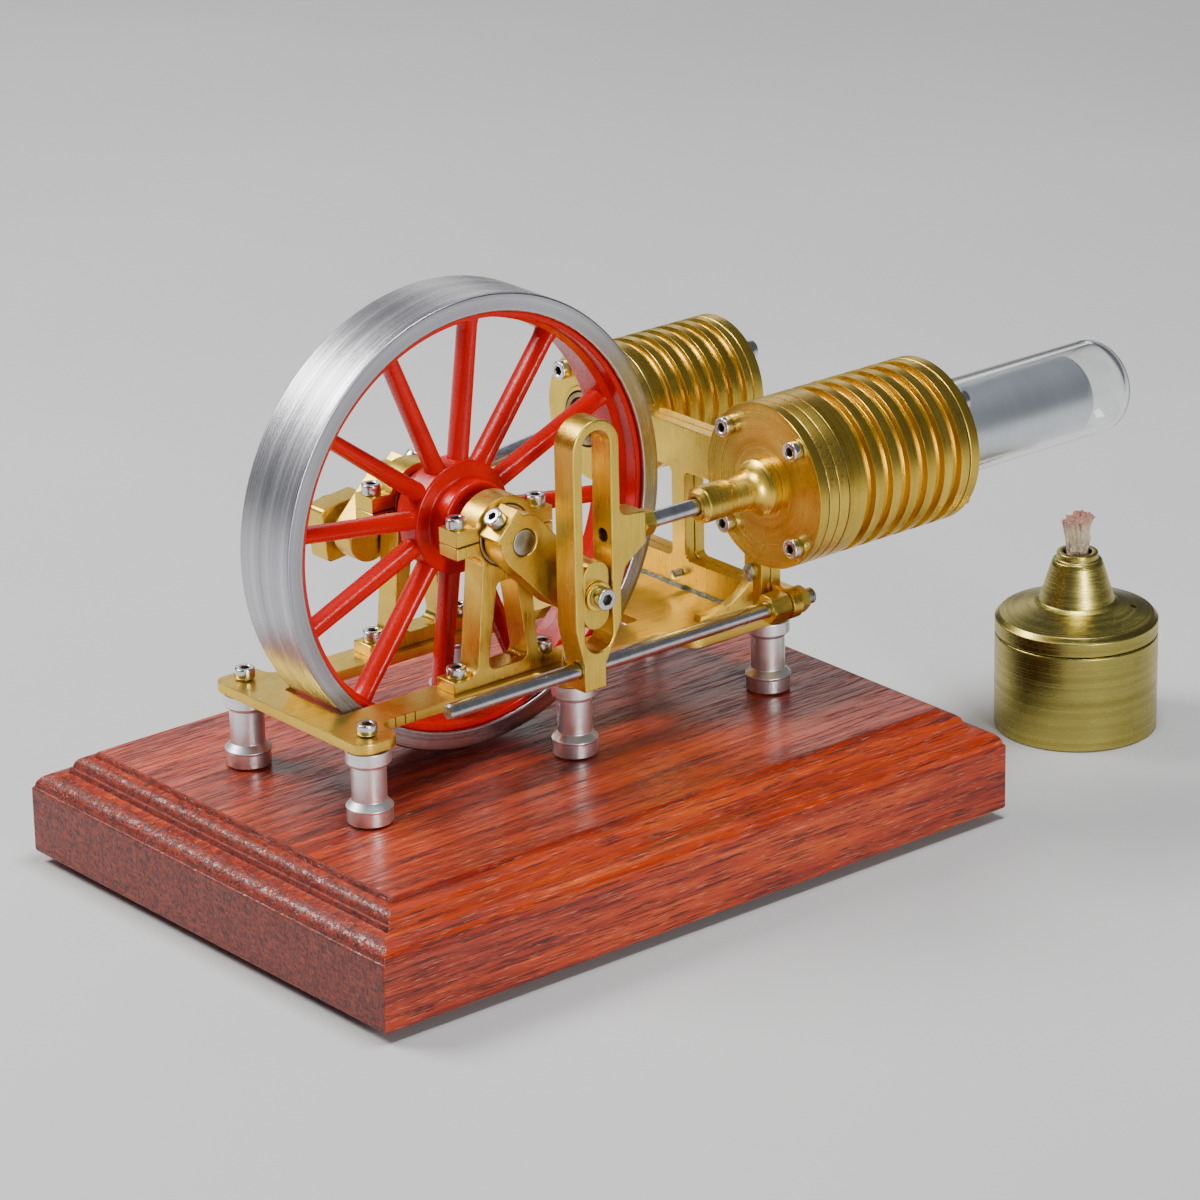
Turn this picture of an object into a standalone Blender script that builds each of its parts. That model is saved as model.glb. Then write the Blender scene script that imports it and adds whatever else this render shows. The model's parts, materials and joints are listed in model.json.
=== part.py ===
"""Model hot-air engine: flywheel, scotch yoke displacer, power piston and spirit burner.

Lengths are in millimetres. finish() turns them into metres and places them in the world.
The design frame has x = 0 and z = SHAFT_HEIGHT on the crankshaft's axis, y = 0 on the
flywheel's middle plane, +x towards the cylinders, +y to the rear and z = 0 on the table.
"""
import math

import bmesh
import bpy
from mathutils import Matrix, Vector

MM = 0.001
GAP = 0.3                                  # clearance between neighbouring pieces
RUNNING = 0.3                              # clearance of a shaft or rod in its hole

# Plinth and feet
PLINTH_SIZE = (146.0, 106.0)
PLINTH_CENTRE = (11.25, -3.6)
PLINTH_BOTTOM = 2.0
PLINTH_TOP = 22.0
PLINTH_SIDE = 12.9                         # height of the plain vertical side
LOWER_OVOLO = (4.8, 2.9)                   # inset and rise of each rounded moulding
UPPER_OVOLO = (3.0, 2.1)
LOWER_STEP = (0.4, 1.1)
UPPER_STEP = (0.7, 1.0)
FOOT_RADIUS = 6.0
FOOT_INSET = 13.0

# Deck and posts
DECK_TOP = 38.5
DECK_THICK = 2.0
DECK_LEFT = -40.0
DECK_RIGHT = 63.2
RAIL_EDGE = 16.1                           # outer edge of both rails, from the wheel's plane
TAB_FRONT = -23.3
TAB_REAR = 20.9
SLOT_HALF_WIDTH = 8.4
SLOT_ENDS = (-33.2, 36.0)
POST_X = (-35.4, 11.6, 58.4)
POST_FRONT_Y = -19.1
POST_REAR_Y = 17.1
POST_COLLAR = 4.15
POST_WAIST = 3.2
SIDE_TAB = 4.8                             # half width of the middle tabs
RIGHT_TAB_START = 36.0

# Screws
HEAD_RADIUS = 1.85
HEAD_HEIGHT = 2.0
SHANK_RADIUS = 1.0
SOCKET_RADIUS = 0.95                       # across corners
SOCKET_DEPTH = 1.0

# Shaft, bearings and pedestals
SHAFT_HEIGHT = 66.0
SHAFT_RADIUS = 2.5
SHAFT_HALF = 20.4
BEARING_RADIUS = 5.5
PEDESTAL_NEAR = 9.7                        # distance of the pedestal's faces from y = 0
PEDESTAL_FAR = 14.9
CAP_RADIUS = 7.3
LUG_REACH = 11.0
LUG_TOP = 2.9
LUG_BOTTOM = -2.4
CAP_SCREW_X = 9.1
PEDESTAL_SCREW_X = 9.9
FOOT_REACH = 12.5
FOOT_TOP = -25.3

# Flywheel
WHEEL_RADIUS = 42.5
TYRE_INNER = 39.0
WHEEL_HALF = 7.1
LINER_INNER = 37.9
LINER_HALF = 6.3
RIB_INNER = 36.9
RIB_HALF = 3.3
HUB_RADIUS = 7.8
HUB_HALF = 6.9
HUB_DISC_RADIUS = 10.6
HUB_DISC_HALF = 3.0
SPOKES = 12
SPOKE_PHASE = 23.0
SPOKE_RADII = (1.75, 1.45)                 # at the hub and at the rim
SPOKE_DEPTH = 1.4                          # depth along the axle over width

# Cranks
WEB_NEAR = 15.3
WEB_FAR = 20.5
WEB_HUB = 5.2
WEB_TAIL = 5.6
WEB_END = 4.7
FRONT_THROW = 14.0
FRONT_ANGLE = -47.0
REAR_THROW = 10.0
REAR_ANGLE = -137.0
PIN_RADIUS = 1.5
PIN_INNER = 20.8                           # where each crank pin stops short of its web

# Displacer line
DISPLACER_Y = -26.7
YOKE_BACK = -23.8
YOKE_FRONT = -29.2
YOKE_HALF_WIDTH = 5.3
SLOT_HALF = 3.25
YOKE_SLOT_END = 20.9
YOKE_END = 22.9
YOKE_BOSS_END = 20.8
YOKE_FOOT = (-3.5, 1.5, -27.9)             # sides from the slot's middle, and the bottom
SLIDER_HALF = (2.95, 6.5)
ROD_RADIUS = 1.5
ROD_START = 16.9
DISPLACER_START = 77.3
DISPLACER_END = 129.3
DISPLACER_RADIUS = 7.5
GUIDE_Y = -26.9
GUIDE_Z = -24.2
GUIDE_START = -23.5
GUIDE_END = 62.6

# Cylinders
COVER_START = 50.9
PLATE_FRONT = (53.2, 55.4)
PLATE_REAR = (55.7, 57.9)
GUSSET_TIP = 43.1                          # x of the brace's blunt end on the deck
GUSSET_FRONT = -17.5                       # y of its front face there
GUSSET_THICKNESS = 2.0
GUSSET_TOP = 47.2
GUSSET_SWEEP = 10.7                        # radius of its hollow edge
GUSSET_SLANT = 0.35                        # how far it leans forwards per mm of x
BODY_START = 58.2
CYLINDER_RADIUS = 15.7
COVER_SCREW_RADIUS = 13.2
COOLER_END = 88.0
FLANGE_END = 90.5
GROOVE_START = 62.3
GROOVE_PITCH = 4.28
GROOVE_WIDTH = 2.1
GROOVES = 6
COOLER_GROOVE_DEPTH = 1.3
TUBE_RADIUS = 9.05
TUBE_WALL = 1.0
TUBE_START = 70.0
TUBE_END = 140.5
TUBE_DOME = 6.0
GLAND_NOSE = 34.5
GLAND_RADIUS = 3.45
GLAND_BASE = 5.3

# Power line
POWER_Y = 24.8
POWER_RADIUS = 13.1
POWER_SCREW_RADIUS = 10.8
POWER_END = 82.4
HEAD_END = 85.0
POWER_GROOVE_PITCH = 3.6
POWER_GROOVE_START = 61.0
POWER_GROOVE_WIDTH = 1.8
POWER_GROOVE_DEPTH = 0.9
LINER_START = 51.0
LINER_RADIUS = 6.5
POWER_BORE = 5.5
PISTON_RADIUS = 5.2
PISTON_SKIRT = 3.5                         # from the wrist pin to the open end
PISTON_CROWN = 8.0                         # from the wrist pin to the closed end
CONROD_LENGTH = 62.0
CONROD_RADIUS = 1.4
BIG_END_HALF = 5.3
BIG_END_NEAR = 22.3
BIG_END_FAR = 27.3

# Burner
BURNER_CENTRE = (127.0, -31.5)
BURNER_RADIUS = 15.8
BURNER_SEAM = 19.5
BURNER_WALL = 1.2
WICK_TOP = 43.3
LID_VENT = (7.4, -8.0)                     # vent hole from the middle of the lid

# World offset: the origin is the middle of the whole set's plan
BURNER_RIGHT = BURNER_CENTRE[0] + BURNER_RADIUS
PLINTH_LEFT = PLINTH_CENTRE[0] - PLINTH_SIZE[0] / 2
OFFSET = Vector((-(PLINTH_LEFT + BURNER_RIGHT) / 2, -PLINTH_CENTRE[1], 0.0))


def polar(radius, degrees):
    """Point at a radius and angle in a plane."""
    angle = math.radians(degrees)
    return (radius * math.cos(angle), radius * math.sin(angle))


FRONT_PIN = polar(FRONT_THROW, FRONT_ANGLE)
REAR_PIN = polar(REAR_THROW, REAR_ANGLE)
WRIST_X = REAR_PIN[0] + math.sqrt(CONROD_LENGTH ** 2 - REAR_PIN[1] ** 2)
YOKE_X = FRONT_PIN[0]

# Joint pivots in the design frame, one for each moving body
PIVOTS = {
    "engine": (0.0, 0.0, 0.0),
    "crank": (0.0, 0.0, SHAFT_HEIGHT),
    "yoke": (YOKE_X, DISPLACER_Y, SHAFT_HEIGHT),
    "slider": (YOKE_X, DISPLACER_Y, SHAFT_HEIGHT + FRONT_PIN[1]),
    "piston": (WRIST_X, POWER_Y, SHAFT_HEIGHT),
    "conrod": (WRIST_X, POWER_Y, SHAFT_HEIGHT),
    "burner": (BURNER_CENTRE[0], BURNER_CENTRE[1], 0.0),
    "lid": (BURNER_CENTRE[0], BURNER_CENTRE[1], BURNER_SEAM),
}

# Materials: colour, roughness, metallic
FINISHES = {
    "brass": ((0.78, 0.55, 0.20), 0.32, 1.0),
    "turned_brass": ((0.83, 0.60, 0.24), 0.26, 1.0),
    "steel": ((0.62, 0.62, 0.63), 0.28, 1.0),
    "aluminium": ((0.74, 0.74, 0.76), 0.34, 1.0),
    "red_enamel": ((0.75, 0.02, 0.01), 0.28, 0.0),
    "mahogany": ((0.42, 0.055, 0.02), 0.35, 0.0),
    "rubber": ((0.02, 0.018, 0.025), 0.75, 0.0),
    "bronze": ((0.32, 0.22, 0.12), 0.4, 1.0),
    "glass": ((0.92, 0.95, 0.96), 0.03, 0.0),
    "cotton": ((0.72, 0.50, 0.46), 0.95, 0.0),
}


def clear_scene():
    """Remove every object that the scene starts with."""
    for existing in list(bpy.data.objects):
        bpy.data.objects.remove(existing, do_unlink=True)


def make_material(name, finish):
    """Principled material with the finish's colour, roughness and metallic value."""
    colour, roughness, metallic = FINISHES[finish]
    material = bpy.data.materials.new(name)
    material.use_nodes = True
    shader = material.node_tree.nodes["Principled BSDF"]
    shader.inputs["Base Color"].default_value = (*colour, 1.0)
    shader.inputs["Roughness"].default_value = roughness
    shader.inputs["Metallic"].default_value = metallic
    if finish == "glass":
        shader.inputs["Transmission Weight"].default_value = 1.0
    return material


def make_pivots():
    """One empty on each moving body's joint axis."""
    empties = {}
    for body, point in PIVOTS.items():
        empty = bpy.data.objects.new(body + "_axis", None)
        empty.location = (Vector(point) + OFFSET) * MM
        bpy.context.scene.collection.objects.link(empty)
        empties[body] = empty
    return empties


def finish(name, shape, finish_name, body="engine"):
    """Turn a shape in millimetres into a named object on its body's pivot, in metres."""
    bmesh.ops.recalc_face_normals(shape, faces=shape.faces)
    pivot = Vector(PIVOTS[body])
    bmesh.ops.translate(shape, verts=shape.verts, vec=-pivot)
    bmesh.ops.scale(shape, verts=shape.verts, vec=(MM, MM, MM))
    mesh = bpy.data.meshes.new(name)
    shape.to_mesh(mesh)
    shape.free()
    mesh.materials.append(make_material(name, finish_name))
    mesh.shade_smooth()
    mesh.set_sharp_from_angle(angle=math.radians(32))
    part = bpy.data.objects.new(name, mesh)
    bpy.context.scene.collection.objects.link(part)
    part.parent = PIVOT_EMPTIES[body]
    return part


def copy_part(source, name, shift):
    """A linked copy of a part, moved by a shift in millimetres."""
    twin = bpy.data.objects.new(name, source.data)
    bpy.context.scene.collection.objects.link(twin)
    twin.parent = source.parent
    twin.location = source.location + Vector(shift) * MM
    return twin


def along(axis):
    """Matrix that turns a shape built along local z so that it runs along the axis.

    A section's first and second coordinates become x, z for axis Y and y, z for axis X.
    """
    rows = {
        "X": ((0, 0, 1), (1, 0, 0), (0, 1, 0)),
        "Y": ((1, 0, 0), (0, 0, 1), (0, 1, 0)),
        "Z": ((1, 0, 0), (0, 1, 0), (0, 0, 1)),
    }
    return Matrix(rows[axis]).to_4x4()


def arc(centre, radius, start, end, steps):
    """Points on an arc from start to end degrees, both included."""
    points = []
    for step in range(steps + 1):
        x, y = polar(radius, start + (end - start) * step / steps)
        points.append((centre[0] + x, centre[1] + y))
    return points


def circle(centre, radius, steps):
    """Points of a full circle."""
    return arc(centre, radius, 0, 360, steps)[:-1]


def fillet(corners, steps=4):
    """Outline through (x, y, radius) corners, each rounded by its own radius."""
    outline = []
    for index, (x, y, radius) in enumerate(corners):
        corner = Vector((x, y))
        if radius == 0:
            outline.append((x, y))
            continue
        before = (Vector(corners[index - 1][:2]) - corner).normalized()
        after = (Vector(corners[(index + 1) % len(corners)][:2]) - corner).normalized()
        half = before.angle(after) / 2
        centre = corner + (before + after).normalized() * radius / math.sin(half)
        first = corner + before * radius / math.tan(half) - centre
        last = corner + after * radius / math.tan(half) - centre
        start = math.degrees(math.atan2(first.y, first.x))
        sweep = math.degrees(math.atan2(last.y, last.x)) - start
        sweep = (sweep + 180) % 360 - 180
        outline += arc(centre, radius, start, start + sweep, steps)
    return outline


def prism(outer, holes, low, high, axis):
    """Closed solid: an outline with holes, extruded along an axis from low to high."""
    shape = bmesh.new()
    edges = []
    for loop in [outer, *holes]:
        ring = [shape.verts.new((u, v, low)) for u, v in loop]
        edges += [shape.edges.new((ring[i - 1], ring[i])) for i in range(len(ring))]
    bmesh.ops.triangle_fill(shape, edges=edges, use_beauty=True)
    lifted = bmesh.ops.extrude_face_region(shape, geom=shape.faces[:])["geom"]
    lifted_verts = [item for item in lifted if isinstance(item, bmesh.types.BMVert)]
    bmesh.ops.translate(shape, verts=lifted_verts, vec=(0, 0, high - low))
    bmesh.ops.transform(shape, verts=shape.verts, matrix=along(axis))
    bmesh.ops.recalc_face_normals(shape, faces=shape.faces)
    return shape


def lathe(profile, axis, centre, steps):
    """Solid of revolution: (radius, position) points turned about an axis.

    A profile that starts and ends at radius 0 is solid; any other is closed on itself.
    centre is the point of the axis where the position is zero.
    """
    shape = bmesh.new()
    ring = [shape.verts.new((radius, 0, position)) for radius, position in profile]
    edges = [shape.edges.new(pair) for pair in zip(ring, ring[1:])]
    if profile[0][0] > 0:
        edges.append(shape.edges.new((ring[-1], ring[0])))
    bmesh.ops.spin(shape, geom=ring + edges, cent=(0, 0, 0), axis=(0, 0, 1),
                   angle=2 * math.pi, steps=steps, use_merge=True)
    bmesh.ops.remove_doubles(shape, verts=shape.verts, dist=0.0005)
    move = Matrix.Translation(centre) @ along(axis)
    bmesh.ops.transform(shape, verts=shape.verts, matrix=move)
    bmesh.ops.recalc_face_normals(shape, faces=shape.faces)
    return shape


def joined_shapes(shapes):
    """Several separate shapes in one bmesh, to use as one Boolean tool."""
    whole = bmesh.new()
    for shape in shapes:
        mesh = bpy.data.meshes.new("work")
        shape.to_mesh(mesh)
        shape.free()
        whole.from_mesh(mesh)
        bpy.data.meshes.remove(mesh)
    return whole


def work_object(shape):
    """Temporary object that holds a shape for a Boolean."""
    mesh = bpy.data.meshes.new("work")
    shape.to_mesh(mesh)
    shape.free()
    holder = bpy.data.objects.new("work", mesh)
    bpy.context.scene.collection.objects.link(holder)
    return holder


def boolean(base, tool, operation):
    """Shape left by an exact UNION or DIFFERENCE of two shapes."""
    base_object = work_object(base)
    tool_object = work_object(tool)
    modifier = base_object.modifiers.new("boolean", "BOOLEAN")
    modifier.operation = operation
    modifier.solver = "EXACT"
    modifier.object = tool_object
    depsgraph = bpy.context.evaluated_depsgraph_get()
    result = bmesh.new()
    result.from_object(base_object, depsgraph)
    for holder in (base_object, tool_object):
        mesh = holder.data
        bpy.data.objects.remove(holder, do_unlink=True)
        bpy.data.meshes.remove(mesh)
    bmesh.ops.remove_doubles(result, verts=result.verts, dist=0.0005)
    bmesh.ops.recalc_face_normals(result, faces=result.faces)
    return result


def rotated(shape, degrees, pivot=(0.0, 0.0)):
    """Shape turned about the y axis through an (x, z) pivot, x towards z positive."""
    centre = Vector((pivot[0], 0.0, pivot[1]))
    turn = Matrix.Translation(centre) @ Matrix.Rotation(-math.radians(degrees), 4, "Y")
    bmesh.ops.transform(shape, verts=shape.verts, matrix=turn @ Matrix.Translation(-centre))
    return shape


def shifted(shape, x, y, z):
    """Shape moved by millimetres."""
    bmesh.ops.translate(shape, verts=shape.verts, vec=(x, y, z))
    return shape


def cap_screw(length, axis, centre, direction=1, head=HEAD_RADIUS, height=HEAD_HEIGHT):
    """Socket cap screw. The head's seat is at the centre and the head points along direction."""
    chamfer = 0.25
    profile = [(0, -length), (SHANK_RADIUS, -length), (SHANK_RADIUS, 0), (head, 0)]
    profile += [(head, height - chamfer), (head - chamfer, height), (0, height)]
    profile = [(radius, position * direction) for radius, position in profile]
    body = lathe(profile, axis, centre, 10)
    low, high = sorted((direction * (height - SOCKET_DEPTH), direction * (height + 1)))
    socket = prism(circle((0, 0), SOCKET_RADIUS, 6), [], low, high, axis)
    shifted(socket, *centre)
    return boolean(body, socket, "DIFFERENCE")


def screw_head(axis, centre, direction=1):
    """Cap screw head sunk a little into its seat, to be joined to the piece it holds."""
    sink = 0.3
    chamfer = 0.25
    top = HEAD_HEIGHT
    profile = [(0, -sink), (HEAD_RADIUS, -sink), (HEAD_RADIUS, top - chamfer)]
    profile += [(HEAD_RADIUS - chamfer, top), (SOCKET_RADIUS, top), (SOCKET_RADIUS, top - 1)]
    profile += [(0, top - 1)]
    profile = [(radius, position * direction) for radius, position in profile]
    return lathe(profile, axis, centre, 10)


def hex_nut(name, span, centre_yz, across, hole, finish_name, body):
    """Hexagon nut along x, with a round hole."""
    corner = across / math.sqrt(3)
    outer = circle(centre_yz, corner, 6)
    inner = circle(centre_yz, hole, 18)
    return finish(name, prism(outer, [inner], *span, "X"), finish_name, body)


def ovolo(inset, rise, start, steps):
    """Quarter-ellipse moulding, as (inset, height) points after its start."""
    points = []
    for step in range(1, steps + 1):
        angle = math.radians(90 * step / steps)
        points.append((start[0] + inset * (1 - math.cos(angle)), start[1] + rise * math.sin(angle)))
    return points


def make_plinth():
    """Moulded wooden plinth: rectangular rings joined level by level."""
    profile = [(0, PLINTH_BOTTOM), (0, PLINTH_BOTTOM + PLINTH_SIDE)]
    for moulding, step in ((LOWER_OVOLO, LOWER_STEP), (UPPER_OVOLO, UPPER_STEP)):
        profile += ovolo(*moulding, profile[-1], 5)
        profile.append((profile[-1][0] + step[0], profile[-1][1] + step[1]))
    shape = bmesh.new()
    rings = []
    for inset, height in profile:
        half_x = PLINTH_SIZE[0] / 2 - inset
        half_y = PLINTH_SIZE[1] / 2 - inset
        ring = []
        for side_x, side_y in ((-1, -1), (1, -1), (1, 1), (-1, 1)):
            x = PLINTH_CENTRE[0] + side_x * half_x
            y = PLINTH_CENTRE[1] + side_y * half_y
            ring.append(shape.verts.new((x, y, height)))
        rings.append(ring)
    for lower, upper in zip(rings, rings[1:]):
        for i in range(4):
            shape.faces.new((lower[i - 1], lower[i], upper[i], upper[i - 1]))
    shape.faces.new(rings[0])
    shape.faces.new(rings[-1])
    finish("plinth", shape, "mahogany")


def make_feet():
    """Four low rubber feet under the plinth's corners."""
    top = PLINTH_BOTTOM - GAP
    profile = [(0, 0), (FOOT_RADIUS - 0.6, 0), (FOOT_RADIUS, 0.6), (FOOT_RADIUS, top), (0, top)]
    reach_x = PLINTH_SIZE[0] / 2 - FOOT_INSET
    reach_y = PLINTH_SIZE[1] / 2 - FOOT_INSET
    for name, side_x, side_y in (("front_left", -1, -1), ("front_right", 1, -1),
                                 ("rear_left", -1, 1), ("rear_right", 1, 1)):
        centre = (PLINTH_CENTRE[0] + side_x * reach_x, PLINTH_CENTRE[1] + side_y * reach_y, 0)
        finish("foot_" + name, lathe(profile, "Z", centre, 20), "rubber")


def post_places():
    """Name and plan position of each post."""
    places = []
    for row, y in (("front", POST_FRONT_Y), ("rear", POST_REAR_Y)):
        for column, x in zip(("left", "middle", "right"), POST_X):
            places.append((row + "_" + column, x, y))
    return places


def screwed_posts():
    """The posts with a screw through the deck: all but the two under the support plates."""
    return [place for place in post_places() if place[1] < RIGHT_TAB_START]


def deck_side(edge, tab):
    """Corners of one long side of the deck, from left to right."""
    bend = 2.2
    nose = 3.6
    left_tab_end = POST_X[0] + SIDE_TAB
    middle = POST_X[1]
    return [
        (DECK_LEFT, tab, nose), (left_tab_end, tab, nose), (left_tab_end, edge, bend),
        (middle - SIDE_TAB, edge, bend), (middle - SIDE_TAB, tab, nose),
        (middle + SIDE_TAB, tab, nose), (middle + SIDE_TAB, edge, bend),
        (RIGHT_TAB_START, edge, bend), (RIGHT_TAB_START, tab, nose), (DECK_RIGHT, tab, nose),
    ]


def make_deck():
    """Brass deck plate with rails beside the flywheel slot and tabs on the posts."""
    corners = deck_side(-RAIL_EDGE, TAB_FRONT)
    corners += reversed(deck_side(RAIL_EDGE, TAB_REAR))
    slot = fillet([(SLOT_ENDS[0], -SLOT_HALF_WIDTH, 0), (SLOT_ENDS[1], -SLOT_HALF_WIDTH, 0),
                   (SLOT_ENDS[1], SLOT_HALF_WIDTH, 0), (SLOT_ENDS[0], SLOT_HALF_WIDTH, 0)])
    holes = [slot]
    for _, x, y in screwed_posts():
        holes.append(circle((x, y), SHANK_RADIUS + GAP, 12))
    plate = prism(fillet(corners, 2), holes, DECK_TOP - DECK_THICK, DECK_TOP, "Z")
    finish("deck", plate, "brass")


def make_posts():
    """Six turned aluminium posts and the screws through the deck."""
    bottom = PLINTH_TOP + GAP
    top = DECK_TOP - DECK_THICK - GAP
    height = top - bottom
    profile = [(0, 0), (POST_COLLAR, 0), (POST_COLLAR, 2.6), (4.35, 3.0), (POST_WAIST, 4.3)]
    profile += [(POST_WAIST, height - 3.2), (POST_COLLAR, height - 2.4), (POST_COLLAR, height)]
    profile += [(SHANK_RADIUS + GAP, height), (SHANK_RADIUS + GAP, height - 6), (0, height - 6)]
    first_name, first_x, first_y = post_places()[0]
    post = finish("post_" + first_name, lathe(profile, "Z", (first_x, first_y, bottom), 12),
                  "aluminium")
    screw_shape = cap_screw(6.5, "Z", (first_x, first_y, DECK_TOP + GAP))
    screw = finish("deck_screw_" + first_name, screw_shape, "steel")
    for name, x, y in post_places()[1:]:
        copy_part(post, "post_" + name, (x - first_x, y - first_y, 0))
    for name, x, y in screwed_posts()[1:]:
        copy_part(screw, "deck_screw_" + name, (x - first_x, y - first_y, 0))


def at_shaft(points):
    """Outline points moved from the shaft's axis to its height."""
    return [(u, v + SHAFT_HEIGHT) for u, v in points]


def make_pedestal(name, low, high):
    """A-shaped pedestal with its bearing seat, two feet and their screws."""
    seat = BEARING_RADIUS + GAP
    base_z = DECK_TOP + GAP - SHAFT_HEIGHT
    half = [(seat, -GAP / 2, 0), (LUG_REACH, -GAP / 2, 0), (LUG_REACH, LUG_BOTTOM, 0)]
    half += [(5.1, LUG_BOTTOM, 2.4), (7.1, FOOT_TOP, 2.0), (FOOT_REACH, FOOT_TOP, 0)]
    half += [(FOOT_REACH, base_z, 0)]
    outline = at_shaft(fillet(half, 3)[::-1])
    outline += at_shaft(arc((0, 0), seat, -1.5, -178.5, 12))
    outline += [(-x, z) for x, z in at_shaft(fillet(half, 3))]
    window = fillet([(-2.1, -8.6, 0.8), (2.1, -8.6, 0.8), (4.6, -24.8, 1.2), (-4.6, -24.8, 1.2)], 2)
    body = prism(outline, [at_shaft(window)], low, high, "Y")
    middle = (low + high) / 2
    for side in (-1, 1):
        centre = (side * PEDESTAL_SCREW_X, middle, SHAFT_HEIGHT + FOOT_TOP)
        body = boolean(body, screw_head("Z", centre), "UNION")
    finish(name, body, "brass")


def make_bearing_cap(name, low, high):
    """Bearing cap: an arch with two lugs, held by two screws."""
    seat = BEARING_RADIUS + GAP
    rise = math.degrees(math.asin(LUG_TOP / CAP_RADIUS))
    outline = [(seat, GAP / 2), (LUG_REACH, GAP / 2), (LUG_REACH, LUG_TOP)]
    outline += arc((0, 0), CAP_RADIUS, rise, 180 - rise, 16)
    outline += [(-LUG_REACH, LUG_TOP), (-LUG_REACH, GAP / 2), (-seat, GAP / 2)]
    outline += arc((0, 0), seat, 178.5, 1.5, 12)[1:-1]
    body = prism(at_shaft(outline), [], low, high, "Y")
    middle = (low + high) / 2
    for side in (-1, 1):
        centre = (side * CAP_SCREW_X, middle, SHAFT_HEIGHT + LUG_TOP)
        body = boolean(body, screw_head("Z", centre), "UNION")
    finish(name, body, "brass")


def make_bearing(name, low, high):
    """Plain bearing bush."""
    inner = SHAFT_RADIUS + RUNNING
    profile = [(inner, low), (BEARING_RADIUS, low), (BEARING_RADIUS, high), (inner, high)]
    finish(name, lathe(profile, "Y", (0, 0, SHAFT_HEIGHT), 16), "bronze")


def make_bearing_stands():
    """Front and rear pedestals with their caps and bushes."""
    for name, low, high in (("front", -PEDESTAL_FAR, -PEDESTAL_NEAR),
                            ("rear", PEDESTAL_NEAR, PEDESTAL_FAR)):
        make_pedestal("pedestal_" + name, low, high)
        make_bearing_cap("bearing_cap_" + name, low, high)
        make_bearing("bearing_" + name, low, high)


def make_crankshaft():
    """Plain steel shaft."""
    edge = 0.3
    radius = SHAFT_RADIUS
    profile = [(0, -SHAFT_HALF), (radius - edge, -SHAFT_HALF), (radius, edge - SHAFT_HALF)]
    profile += [(radius, SHAFT_HALF - edge), (radius - edge, SHAFT_HALF), (0, SHAFT_HALF)]
    finish("crankshaft", lathe(profile, "Y", (0, 0, SHAFT_HEIGHT), 16), "steel", "crank")


def make_flywheel_tyre():
    """Bright tyre around the flywheel's red centre."""
    edge = 0.3
    profile = [(TYRE_INNER, -WHEEL_HALF), (WHEEL_RADIUS - edge, -WHEEL_HALF)]
    profile += [(WHEEL_RADIUS, edge - WHEEL_HALF), (WHEEL_RADIUS, WHEEL_HALF - edge)]
    profile += [(WHEEL_RADIUS - edge, WHEEL_HALF), (TYRE_INNER, WHEEL_HALF)]
    finish("flywheel_tyre", lathe(profile, "Y", (0, 0, SHAFT_HEIGHT), 48), "steel", "crank")


def make_spoke(angle):
    """One oval spoke from the hub to the rim, at an angle in the xz plane."""
    start = HUB_RADIUS
    end = (LINER_INNER + TYRE_INNER - GAP) / 2
    spoke = bmesh.new()
    bmesh.ops.create_cone(spoke, cap_ends=True, segments=8, radius1=SPOKE_RADII[0],
                          radius2=SPOKE_RADII[1], depth=end - start)
    bmesh.ops.scale(spoke, verts=spoke.verts, vec=(1, SPOKE_DEPTH, 1))
    bmesh.ops.translate(spoke, verts=spoke.verts, vec=(0, 0, (start + end) / 2))
    turn = Matrix.Translation((0, 0, SHAFT_HEIGHT)) @ Matrix.Rotation(math.radians(90 - angle), 4, "Y")
    bmesh.ops.transform(spoke, verts=spoke.verts, matrix=turn)
    return spoke


def make_flywheel_centre():
    """Red centre: rim liner with a middle rib, twelve spokes and a stepped hub."""
    axis_point = (0, 0, SHAFT_HEIGHT)
    outer = TYRE_INNER - GAP
    rim = [(outer, -LINER_HALF), (outer, LINER_HALF), (LINER_INNER, LINER_HALF)]
    rim += [(LINER_INNER, RIB_HALF), (RIB_INNER, RIB_HALF - 1), (RIB_INNER, 1 - RIB_HALF)]
    rim += [(LINER_INNER, -RIB_HALF), (LINER_INNER, -LINER_HALF)]
    bore = SHAFT_RADIUS + GAP
    hub = [(bore, -HUB_HALF), (HUB_RADIUS - 0.5, -HUB_HALF), (HUB_RADIUS, 0.5 - HUB_HALF)]
    hub += [(HUB_RADIUS, -HUB_DISC_HALF), (HUB_DISC_RADIUS, 0.8 - HUB_DISC_HALF)]
    hub += [(radius, -position) for radius, position in hub[::-1]]
    spokes = [make_spoke(SPOKE_PHASE + 360 / SPOKES * i) for i in range(SPOKES)]
    wheel = boolean(lathe(rim, "Y", axis_point, 36), joined_shapes(spokes), "UNION")
    wheel = boolean(wheel, lathe(hub, "Y", axis_point, 18), "UNION")
    finish("flywheel_centre", wheel, "red_enamel", "crank")


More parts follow.
